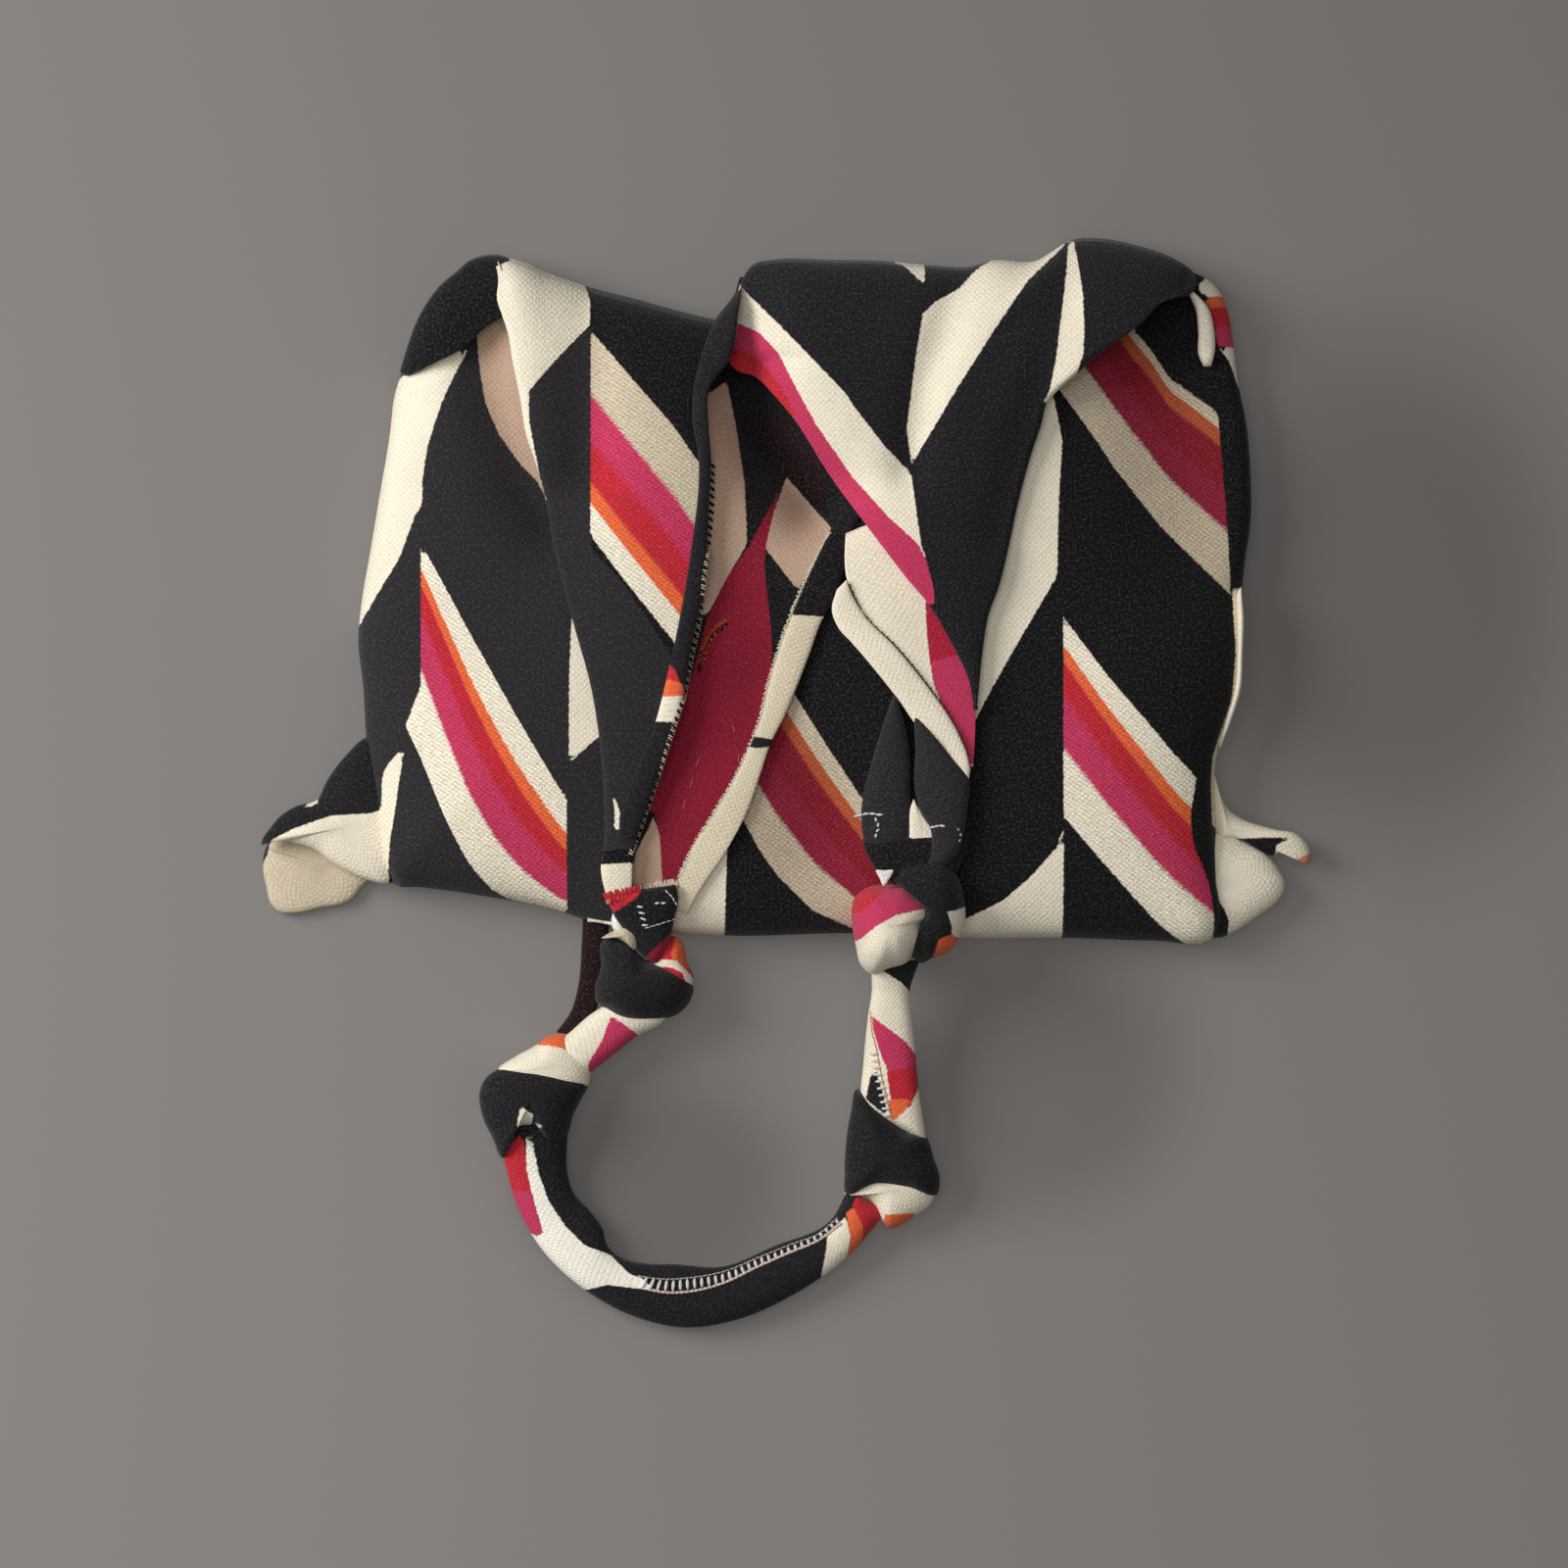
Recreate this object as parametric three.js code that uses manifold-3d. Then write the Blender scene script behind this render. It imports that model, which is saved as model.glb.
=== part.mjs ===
// A soft tote bag of heavy striped cloth, lying on its back. The pouch is sewn from one folded cloth.
// Its two long ears are folded forward over the front panel, and their pleated tips are slipped into
// the ends of one cloth strap, which is tied in four overhand knots and lies in a loop below the bag.
import * as THREE from 'three';
import { mergeVertices } from 'three/addons/utils/BufferGeometryUtils.js';
import Module from 'manifold-3d';

const wasm = await Module();
wasm.setup();

// Driving dimensions in millimetres: cloth and pouch
const CLOTH = 2;
const BODY_WIDTH = 362;
const BODY_LENGTH = 274;
const POUCH_HEIGHT = 36;
const RIM_HEIGHT = 13;
const FOOT_INSET = 10;
const SHOULDER = 66;
const FULLNESS = 2.6;
const TOP_LEAN = 22;
const CORNER_TOP = 30;
const CORNER_BOTTOM = 10;
const BOTTOM_LEFT_RISE = 19;
const BOTTOM_LEFT_IN = 12;
const BOTTOM_SLOPE = 104;
const WAIST_IN = 13;
const WAIST_UP = 62;
const LEFT_PEAK_IN = 56;
const RIGHT_PEAK_IN = 70;
const RIGHT_PEAK_RISE = 9;
const NOTCH_DEPTH = 24;
const NOTCH_WIDTH = 16;
const MOUTH_FROM_LEFT = 152;

// Ears: how far their layers lie above the front panel, and how the top rolls over
const FRONT_EAR_LIFT = 0.5;
const EAR_GAP = 5;
const TIP_RISE = 1;
const EAR_EDGE = 15;
const EAR_SHOULDER = 44;
const EAR_FULLNESS = 2.3;
const ROLL_UNDER = 11;
const ROLL_DEPTH = 14;
const HEM_WIDTH = 8;
const HEM_HEIGHT = 5;
const FLAT_HEM_WIDTH = 11;
const FLAT_HEM_HEIGHT = 3.4;
const LEFT_EAR_LENGTH = 254;
const RIGHT_EAR_LENGTH = 204;
const BACK_MOUTH_DROP = 24;
const FRONT_MOUTH_DROP = 110;
const FRONT_FOLD_DROP = 86;
const FOLD_SETBACK = 8;

// Lower corners of the cloth, pulled out beside the pouch
const LEFT_TAB_REACH = 42;
const LEFT_TAB_LENGTH = 62;
const RIGHT_TAB_REACH = 24;
const RIGHT_TAB_LENGTH = 40;
const RIGHT_POINT_REACH = 33;
const TAB_HEIGHT = 21;
const TAB_LEAN = 0.2;
const POINT_HEIGHT = 13;

// Strap: a flat sewn tube, its sleeve ends and its knots
const STRAP_WIDTH = 27;
const STRAP_THICKNESS = 14;
const KNOT_CORD = 15;
const KNOT_TWIST = 10;
const KNOT_LENGTH = 40;
const SLEEVE_WALL = 1.6;
const SLEEVE_GAP = 0.3;
const SLEEVE_DEPTH = 12;
const TIP_WIDTH = 27;
const TIP_THICKNESS = 7;
const STRAP_DROP = 161;
const LIE_GAP = 0.4;

// Places that follow from the sizes
const LEFT = -174;
const BOTTOM = -62;
const RIGHT = LEFT + BODY_WIDTH;
const TOP = BOTTOM + BODY_LENGTH;
const MOUTH_X = LEFT + MOUTH_FROM_LEFT;
const UP = new THREE.Vector3(0, 0, 1);
const fromTopLeft = (x, y) => new THREE.Vector2(LEFT + x, TOP - y);
const fromTopRight = (x, y) => new THREE.Vector2(RIGHT - x, TOP - y);
const fromMouth = (x, y) => new THREE.Vector2(MOUTH_X + x, TOP - y);

// Solids: a mesh with merged corners becomes a body that can be joined and cut
function toSolid(geometry) {
  const bare = geometry.clone();
  bare.deleteAttribute('normal');
  bare.deleteAttribute('uv');
  const merged = mergeVertices(bare, 1e-4);
  return new wasm.Manifold(new wasm.Mesh({
    numProp: 3,
    vertProperties: new Float32Array(merged.attributes.position.array),
    triVerts: new Uint32Array(merged.index.array),
  }));
}

function toGeometry(body) {
  const mesh = body.getMesh();
  const geometry = new THREE.BufferGeometry();
  geometry.setAttribute('position', new THREE.BufferAttribute(new Float32Array(mesh.vertProperties), 3));
  geometry.setIndex(new THREE.BufferAttribute(new Uint32Array(mesh.triVerts), 1));
  geometry.computeVertexNormals();
  return geometry;
}

const join = (bodies) => bodies.reduce((sum, body) => sum.add(body));

// Pockets that pressed cloth closes off are solid cloth: only the outer skin is kept, without crumbs
function withoutPockets(body) {
  const shells = toSolid(toGeometry(body)).decompose();
  return join(shells.filter((shell) => shell.volume() > CLOTH ** 3));
}

function meshOf(points, triangles) {
  const geometry = new THREE.BufferGeometry();
  geometry.setFromPoints(points);
  geometry.setIndex(triangles);
  return geometry;
}

// A loft through closed rings with as many points each, closed at both ends by a fan
function loft(rings) {
  const count = rings[0].length;
  const last = (rings.length - 1) * count;
  const centre = (ring) => ring.reduce((sum, p) => sum.add(p), new THREE.Vector3()).divideScalar(count);
  const points = [...rings.flat(), centre(rings[0]), centre(rings.at(-1))];
  const triangles = [];
  for (let i = 0; i < count; i += 1) {
    const next = (i + 1) % count;
    for (let row = 0; row + 1 < rings.length; row += 1) {
      const a = row * count + i;
      const b = row * count + next;
      triangles.push(a, b, b + count, a, b + count, a + count);
    }
    triangles.push(points.length - 2, next, i);
    triangles.push(points.length - 1, last + i, last + next);
  }
  const body = toSolid(meshOf(points, triangles));
  return body.volume() > 0 ? body : toSolid(meshOf(points, triangles.reverse()));
}

// A layer of cloth under a grid of points, rows running forward and columns to the right
function clothLayer(rows) {
  const high = rows.length;
  const wide = rows[0].length;
  const at = (r, c) => rows[Math.min(Math.max(r, 0), high - 1)][Math.min(Math.max(c, 0), wide - 1)];
  const upper = [];
  const lower = [];
  for (let r = 0; r < high; r += 1) {
    for (let c = 0; c < wide; c += 1) {
      const forward = at(r + 1, c).clone().sub(at(r - 1, c));
      const right = at(r, c + 1).clone().sub(at(r, c - 1));
      const out = forward.cross(right).normalize();
      upper.push(at(r, c).clone());
      lower.push(at(r, c).clone().addScaledVector(out, -CLOTH));
    }
  }
  const under = high * wide;
  const triangles = [];
  const quad = (a, b, c, d) => triangles.push(a, b, c, a, c, d);
  for (let r = 0; r + 1 < high; r += 1) {
    for (let c = 0; c + 1 < wide; c += 1) {
      const i = r * wide + c;
      quad(i, i + wide, i + wide + 1, i + 1);
      quad(under + i, under + i + 1, under + i + wide + 1, under + i + wide);
    }
  }
  for (let r = 0; r + 1 < high; r += 1) {
    const l = r * wide;
    const e = l + wide - 1;
    quad(l, under + l, under + l + wide, l + wide);
    quad(e, e + wide, under + e + wide, under + e);
  }
  for (let c = 0; c + 1 < wide; c += 1) {
    const f = (high - 1) * wide + c;
    quad(c, c + 1, under + c + 1, under + c);
    quad(f, under + f, under + f + 1, f + 1);
  }
  return toSolid(meshOf([...upper, ...lower], triangles));
}

// A tube of oval section along a curve
function tube(points, width, height, steps, sides = 6) {
  const section = new THREE.Shape();
  section.absellipse(0, 0, height / 2, width / 2, 0, Math.PI * 2);
  const outline = new THREE.Shape(section.getSpacedPoints(sides).slice(0, sides));
  const curve = new THREE.CatmullRomCurve3(points, false, 'centripetal');
  return toSolid(new THREE.ExtrudeGeometry(outline, { extrudePath: curve, steps, bevelEnabled: false }));
}

// An oval section of a flat strap across its run, kept level
function levelOval(centre, along, width, height, sides = 10) {
  const across = along.clone().cross(UP).normalize();
  const rise = across.clone().cross(along).normalize();
  const ring = [];
  for (let i = 0; i < sides; i += 1) {
    const turn = (i / sides) * Math.PI * 2;
    const a = Math.sign(Math.cos(turn)) * Math.abs(Math.cos(turn)) ** 0.8;
    const b = Math.sign(Math.sin(turn)) * Math.abs(Math.sin(turn)) ** 0.8;
    ring.push(centre.clone().addScaledVector(across, a * width / 2).addScaledVector(rise, b * height / 2));
  }
  return ring;
}

// A flat strap through stations that give a place, a width and a thickness
function strapRun(stations, steps, sides = 10) {
  const path = new THREE.CatmullRomCurve3(stations.map((s) => s.at), false, 'centripetal');
  const rings = [];
  for (let i = 0; i <= steps; i += 1) {
    const t = i / steps;
    const place = t * (stations.length - 1);
    const low = Math.min(Math.floor(place), stations.length - 2);
    const mix = (key) => THREE.MathUtils.lerp(stations[low][key], stations[low + 1][key], place - low);
    rings.push(levelOval(path.getPoint(t), path.getTangent(t), mix('width'), mix('thick'), sides));
  }
  return loft(rings);
}

// Pouch outline, seen from above, with rounded corners
function roundedOutline(corners, count) {
  const path = new THREE.Path();
  corners.forEach(({ at, radius }, i) => {
    const before = corners.at(i - 1).at;
    const after = corners[(i + 1) % corners.length].at;
    const start = at.clone().add(before.clone().sub(at).setLength(radius));
    const end = at.clone().add(after.clone().sub(at).setLength(radius));
    if (i === 0) {
      path.moveTo(start.x, start.y);
    } else {
      path.lineTo(start.x, start.y);
    }
    path.quadraticCurveTo(at.x, at.y, end.x, end.y);
  });
  path.closePath();
  return path.getSpacedPoints(count).slice(0, count);
}

const outline = roundedOutline([
  { at: new THREE.Vector2(LEFT + BOTTOM_LEFT_IN, BOTTOM + BOTTOM_LEFT_RISE), radius: CORNER_BOTTOM },
  { at: new THREE.Vector2(LEFT + BOTTOM_SLOPE, BOTTOM), radius: CORNER_TOP },
  { at: new THREE.Vector2(RIGHT - WAIST_IN + 4, BOTTOM), radius: CORNER_BOTTOM },
  { at: new THREE.Vector2(RIGHT - WAIST_IN, BOTTOM + WAIST_UP), radius: CORNER_TOP },
  { at: fromTopRight(-9, 92), radius: 60 },
  { at: fromTopRight(6, 4), radius: CORNER_TOP },
  { at: fromTopRight(RIGHT_PEAK_IN, -RIGHT_PEAK_RISE), radius: CORNER_TOP },
  { at: fromMouth(NOTCH_WIDTH, 0), radius: NOTCH_WIDTH / 2 },
  { at: fromMouth(0, NOTCH_DEPTH), radius: NOTCH_WIDTH / 2 },
  { at: fromTopLeft(LEFT_PEAK_IN, 0), radius: CORNER_TOP / 2 },
  { at: fromTopLeft(TOP_LEAN, 0), radius: CORNER_TOP },
  { at: fromTopLeft(-6, 150), radius: 60 },
], 52);

// The front panel rises from the outline to a level crown above this inner rectangle
const core = new THREE.Box2(
  new THREE.Vector2(LEFT + SHOULDER, BOTTOM + SHOULDER),
  new THREE.Vector2(RIGHT - SHOULDER, TOP - NOTCH_DEPTH - SHOULDER),
);

function outlineReach(from, towards) {
  let reach = Infinity;
  outline.forEach((a, i) => {
    const side = outline[(i + 1) % outline.length].clone().sub(a);
    const cross = towards.cross(side);
    const start = a.clone().sub(from);
    const along = start.cross(side) / cross;
    const share = start.cross(towards) / cross;
    if (along > 0 && share >= 0 && share <= 1) {
      reach = Math.min(reach, along);
    }
  });
  return reach;
}

function panelHeight(x, y) {
  const point = new THREE.Vector2(x, y);
  const near = core.clampPoint(point, new THREE.Vector2());
  const away = point.clone().sub(near);
  if (away.length() < 1e-6) {
    return POUCH_HEIGHT;
  }
  const share = Math.min(away.length() / outlineReach(near, away.clone().normalize()), 1);
  return RIM_HEIGHT + (POUCH_HEIGHT - RIM_HEIGHT) * (1 - share ** FULLNESS) ** (1 / FULLNESS);
}

function pouchSolid(inset) {
  const ring = (draw, z) => outline.map((p) => {
    const near = core.clampPoint(p, new THREE.Vector2());
    const reach = p.distanceTo(near);
    const share = Math.max((reach - draw) / reach, 0.06);
    return new THREE.Vector3(near.x + (p.x - near.x) * share, near.y + (p.y - near.y) * share, z);
  });
  const rings = [];
  for (const turn of [0, 34]) {
    const angle = THREE.MathUtils.degToRad(turn);
    const z = inset + (RIM_HEIGHT - inset) * Math.sin(angle);
    rings.push(ring(inset + FOOT_INSET * (1 - Math.sin(angle)) ** 1.6, z));
    rings.at(-1).forEach((p) => p.setZ(z));
  }
  for (const turn of [0, 12, 30, 52, 74, 90]) {
    const angle = THREE.MathUtils.degToRad(turn);
    const draw = (SHOULDER - inset) * (1 - Math.cos(angle) ** (2 / FULLNESS));
    const rise = (POUCH_HEIGHT - inset - RIM_HEIGHT) * Math.sin(angle) ** (2 / FULLNESS);
    rings.push(ring(inset + draw, RIM_HEIGHT + rise));
  }
  return loft(rings);
}

// Lower corners: soft horns of cloth, hollow like the pouch they belong to
function horn(stations, height, inset) {
  const rings = stations.map(({ x, low, high }) => {
    const ring = [];
    for (let i = 0; i < 10; i += 1) {
      const turn = (i / 10) * Math.PI * 2;
      const half = Math.max((high - low) / 2 - inset, 1);
      const tall = height * (1 - TAB_LEAN * (1 - Math.cos(turn)));
      const y = (low + high) / 2 + half * Math.cos(turn);
      const z = tall / 2 + (tall / 2 - inset) * Math.sin(turn);
      ring.push(new THREE.Vector3(x, y, z));
    }
    return ring;
  });
  return loft(rings);
}

const leftTab = (inset) => horn([
  { x: LEFT + 20, low: BOTTOM + 10, high: BOTTOM + 10 + LEFT_TAB_LENGTH },
  { x: LEFT - LEFT_TAB_REACH * 0.3, low: BOTTOM + 12, high: BOTTOM + 4 + LEFT_TAB_LENGTH },
  { x: LEFT - LEFT_TAB_REACH * 0.7, low: BOTTOM + 9, high: BOTTOM - 8 + LEFT_TAB_LENGTH },
  { x: LEFT - LEFT_TAB_REACH * 0.93 + inset, low: BOTTOM + 13, high: BOTTOM - 18 + LEFT_TAB_LENGTH },
  { x: LEFT - LEFT_TAB_REACH + inset, low: BOTTOM + 20, high: BOTTOM - 26 + LEFT_TAB_LENGTH },
], TAB_HEIGHT, inset);

const rightTab = (inset) => horn([
  { x: RIGHT - 26, low: BOTTOM + 4, high: BOTTOM + 2 + RIGHT_TAB_LENGTH },
  { x: RIGHT - 6, low: BOTTOM, high: BOTTOM - 2 + RIGHT_TAB_LENGTH },
  { x: RIGHT + RIGHT_TAB_REACH * 0.6 - inset, low: BOTTOM + 3, high: BOTTOM - 4 + RIGHT_TAB_LENGTH },
  { x: RIGHT + RIGHT_TAB_REACH * 0.8 - inset, low: BOTTOM + 12, high: BOTTOM - 12 + RIGHT_TAB_LENGTH },
], TAB_HEIGHT, inset);

const rightPoint = (inset) => horn([
  { x: RIGHT - 22, low: BOTTOM + 36, high: BOTTOM + 62 },
  { x: RIGHT - 4, low: BOTTOM + 35, high: BOTTOM + 52 },
  { x: RIGHT + RIGHT_POINT_REACH * 0.5 - inset, low: BOTTOM + 33, high: BOTTOM + 46 },
  { x: RIGHT + RIGHT_POINT_REACH * 0.84 - inset, low: BOTTOM + 30, high: BOTTOM + 41 },
], POINT_HEIGHT, inset);

const hollow = join([pouchSolid(CLOTH), leftTab(CLOTH), rightTab(CLOTH), rightPoint(CLOTH)]);
const skin = join([pouchSolid(0), leftTab(0), rightTab(0), rightPoint(0)]).subtract(hollow);

// Ears: fold edges and hems as curves on the front panel, from the top down to the tips
const flat = (points) => new THREE.SplineCurve(points);
const LEFT_TIP = new THREE.Vector2(LEFT + 104, TOP - LEFT_EAR_LENGTH);
const RIGHT_TIP = new THREE.Vector2(RIGHT - 112, TOP - RIGHT_EAR_LENGTH);
const BACK_MOUTH = fromMouth(-1, BACK_MOUTH_DROP);
const FRONT_MOUTH = fromMouth(46, FRONT_MOUTH_DROP);

const leftFold = flat([
  fromTopLeft(57, -3), fromTopLeft(66, 52), fromTopLeft(77, 97),
  LEFT_TIP.clone().add(new THREE.Vector2(-14, 98)), LEFT_TIP.clone().add(new THREE.Vector2(-4, 50)), LEFT_TIP,
]);
const leftHem = flat([
  BACK_MOUTH, fromMouth(-12, 60), fromMouth(-14, 116),
  LEFT_TIP.clone().add(new THREE.Vector2(27, 82)), LEFT_TIP.clone().add(new THREE.Vector2(16, 50)),
  LEFT_TIP.clone().add(new THREE.Vector2(3, 4)),
]);
const rightHem = flat([
  fromMouth(4, 10), fromMouth(2, 40), fromMouth(22, 58), fromMouth(50, 100),
  RIGHT_TIP.clone().add(new THREE.Vector2(-24, 72)), RIGHT_TIP.clone().add(new THREE.Vector2(-12, 40)),
  RIGHT_TIP.clone().add(new THREE.Vector2(-3, 8)),
]);
const rightFold = flat([
  fromTopRight(11, 8), fromTopRight(56, 32), fromTopRight(81, 55), fromTopRight(88, 84),
  RIGHT_TIP.clone().add(new THREE.Vector2(10, 62)), RIGHT_TIP.clone().add(new THREE.Vector2(3, 32)), RIGHT_TIP,
]);
const frontLeftHem = flat([
  FRONT_MOUTH, FRONT_MOUTH.clone().add(new THREE.Vector2(-30, -80)), LEFT_TIP.clone().add(new THREE.Vector2(29, 0)),
]);
const frontRightHem = flat([FRONT_MOUTH.clone().add(new THREE.Vector2(-2, -14)), RIGHT_TIP]);

const topEdgeLeft = new THREE.LineCurve(fromTopLeft(57, -3), BACK_MOUTH);
const topEdgeRight = flat([
  fromMouth(4, 8), fromMouth(14, -2), fromMouth(78, -2), fromTopRight(92, -3),
  fromTopRight(RIGHT_PEAK_IN, -RIGHT_PEAK_RISE - 2), fromTopRight(36, -5), fromTopRight(11, 8),
]);

const BACK_LIFT = FRONT_EAR_LIFT + CLOTH * 2 + EAR_GAP;
const rightRise = (y) => TIP_RISE * (1 - THREE.MathUtils.smoothstep(y, RIGHT_TIP.y + 20, RIGHT_TIP.y + 90));
const leftLayer = (p, lift) => new THREE.Vector3(p.x, p.y, panelHeight(p.x, p.y) + lift);
const rightLayer = (p, lift) => new THREE.Vector3(p.x, p.y, panelHeight(p.x, p.y) + lift + rightRise(p.y));

// The back panel rolls over the top edge and runs forward as the upper layer of an ear
function backEar(topEdge, outer, inner, layer, columns, rows) {
  const grid = [];
  const across = [...Array(columns + 1).keys()].map((c) => c / columns);
  const start = 0.06 + 0.94 / rows;
  const spots = across.map((u) => outer.getPoint(start).lerp(inner.getPoint(start), u));
  const rolled = (s) => {
    const share = (1 - (1 - s / EAR_SHOULDER) ** EAR_FULLNESS) ** (1 / EAR_FULLNESS);
    return EAR_EDGE + (POUCH_HEIGHT + BACK_LIFT - EAR_EDGE) * share;
  };
  const roll = [
    [ROLL_UNDER, CLOTH + 1], [ROLL_UNDER * 0.2, EAR_EDGE * 0.45],
    ...[0, 3, 9, 19].map((s) => [s, rolled(s)]),
  ];
  for (const [reach, z] of roll) {
    grid.push(across.map((u, c) => {
      const edge = topEdge.getPoint(u);
      const p = edge.clone().add(spots[c].clone().sub(edge).setLength(reach));
      return new THREE.Vector3(p.x, p.y, z);
    }));
  }
  for (let r = 1; r <= rows; r += 1) {
    const w = 0.06 + 0.94 * (r / rows);
    grid.push(across.map((u) => {
      const p = outer.getPoint(w).lerp(inner.getPoint(w), u);
      const place = layer(p, BACK_LIFT);
      place.z = Math.max(place.z, POUCH_HEIGHT + BACK_LIFT - 30 * w);
      return place;
    }));
  }
  return clothLayer(grid);
}

// The front panel folds forward below it and runs down as the lower layer of both ears
function frontEar(outer, inner, layer, columns, rows) {
  const grid = [];
  for (let r = 0; r <= rows; r += 1) {
    const w = r / rows;
    grid.push([...Array(columns + 1).keys()].map((c) => {
      const p = outer.getPoint(w).lerp(inner.getPoint(w), c / columns);
      return layer(p, FRONT_EAR_LIFT + CLOTH);
    }));
  }
  return clothLayer(grid);
}


const shorten = (curve, from, to) => flat([...Array(7).keys()].map((i) => curve.getPoint(from + (to - from) * i / 6)));
const meetLine = [fromMouth(46, FRONT_FOLD_DROP), fromMouth(46, (FRONT_FOLD_DROP + FRONT_MOUTH_DROP) / 2), FRONT_MOUTH];
const frontFold = flat([
  leftFold.getPoint(0.16).add(new THREE.Vector2(FOLD_SETBACK, 0)), fromMouth(0, FRONT_FOLD_DROP),
  fromMouth(46, FRONT_FOLD_DROP), rightFold.getPoint(0.2).sub(new THREE.Vector2(FOLD_SETBACK, 0)),
]);
const earLayers = [
  backEar(topEdgeLeft, leftFold, leftHem, leftLayer, 4, 9),
  backEar(topEdgeRight, rightHem, rightFold, rightLayer, 7, 9),
  frontEar(
    shorten(leftFold, 0.16, 1),
    flat([...meetLine, FRONT_MOUTH.clone().add(new THREE.Vector2(-30, -80)), LEFT_TIP.clone().add(new THREE.Vector2(29, 0))]),
    leftLayer, 4, 8,
  ),
  frontEar(
    flat([...meetLine, FRONT_MOUTH.clone().lerp(RIGHT_TIP, 0.5), RIGHT_TIP]),
    shorten(rightFold, 0.2, 1),
    rightLayer, 3, 8,
  ),
];

// Rolled hems of the mouth and the rounded fold edges of the ears
function edgeTube(curve, layer, lift, width, height, from, to, steps) {
  const points = [];
  for (let i = 0; i <= 8; i += 1) {
    points.push(layer(curve.getPoint(from + (to - from) * i / 8), lift));
  }
  return tube(points, width, height, steps);
}

const backHemLift = BACK_LIFT - CLOTH / 2;
const frontHemLift = FRONT_EAR_LIFT + CLOTH;
const foldLift = FRONT_EAR_LIFT + (CLOTH * 2 + EAR_GAP) / 2;
const foldHeight = CLOTH * 2 + EAR_GAP;
const frontFoldHeight = CLOTH * 2 + FRONT_EAR_LIFT;
const edges = [
  edgeTube(leftHem, leftLayer, backHemLift, HEM_WIDTH, HEM_HEIGHT, 0.14, 0.97, 10),
  edgeTube(rightHem, rightLayer, backHemLift, HEM_WIDTH * 0.7, HEM_HEIGHT, 0.16, 0.98, 11),
  edgeTube(frontLeftHem, leftLayer, frontHemLift, FLAT_HEM_WIDTH, FLAT_HEM_HEIGHT, 0, 1, 8),
  edgeTube(frontRightHem, rightLayer, frontHemLift, FLAT_HEM_WIDTH, FLAT_HEM_HEIGHT, 0, 1, 6),
  edgeTube(leftFold, leftLayer, foldLift, foldHeight, foldHeight, 0.2, 0.99, 10),
  edgeTube(rightFold, rightLayer, foldLift, foldHeight, foldHeight, 0.24, 0.99, 10),
  edgeTube(frontFold, leftLayer, FRONT_EAR_LIFT / 2, frontFoldHeight, frontFoldHeight, 0, 1, 10),
];

// The ears' pleated ends: the left one is a single bundle, the right one two pleats side by side
const tipHeight = (x, y) => panelHeight(x, y) + LIE_GAP + SLEEVE_GAP + SLEEVE_WALL + TIP_THICKNESS / 2;
const LEFT_JOINT = LEFT_TIP.clone().add(new THREE.Vector2(14, -4));
const RIGHT_JOINT = RIGHT_TIP.clone().add(new THREE.Vector2(-24, -28));
function tipAt(joint, y) {
  const z = tipHeight(joint.x, joint.y);
  return new THREE.Vector3(joint.x, joint.y + y, z);
}
const station = (at, width, thick) => ({ at, width, thick });
const tips = [
  strapRun([
    station(tipAt(LEFT_JOINT, 30), TIP_WIDTH, TIP_THICKNESS * 0.6),
    station(tipAt(LEFT_JOINT, 12), TIP_WIDTH, TIP_THICKNESS),
    station(tipAt(LEFT_JOINT, -SLEEVE_DEPTH + 2), TIP_WIDTH, TIP_THICKNESS),
  ], 4),
  strapRun([
    station(tipAt(RIGHT_JOINT, 8), TIP_WIDTH, TIP_THICKNESS),
    station(tipAt(RIGHT_JOINT, -SLEEVE_DEPTH + 2), TIP_WIDTH, TIP_THICKNESS),
  ], 3),
];
for (const side of [-1, 1]) {
  const top = tipAt(RIGHT_JOINT, 68 - side * 14);
  top.x += side * 11;
  const middle = tipAt(RIGHT_JOINT, 22);
  middle.x += side * 12;
  const foot = tipAt(RIGHT_JOINT, 2);
  foot.x += side * 8;
  tips.push(strapRun([
    station(top, 14, TIP_THICKNESS * 0.5), station(middle, 20, TIP_THICKNESS), station(foot, 15, TIP_THICKNESS),
  ], 6));
}

// The way in: behind the front panel's fold the pouch is open to the space between the ear layers
function slotCut() {
  const band = new THREE.Shape([
    fromTopLeft(76, ROLL_DEPTH + 12), fromMouth(-4, NOTCH_DEPTH + ROLL_DEPTH),
    fromMouth(26, ROLL_DEPTH + 4), fromTopRight(72, ROLL_DEPTH + 2),
    ...frontFold.getPoints(6).reverse(),
  ]);
  const geometry = new THREE.ExtrudeGeometry(band, { depth: POUCH_HEIGHT - RIM_HEIGHT, bevelEnabled: false });
  geometry.translate(0, 0, RIM_HEIGHT + 5);
  return toSolid(geometry);
}

const bagBody = withoutPockets(join([skin.subtract(slotCut()), ...earLayers, ...edges, ...tips]));

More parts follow.
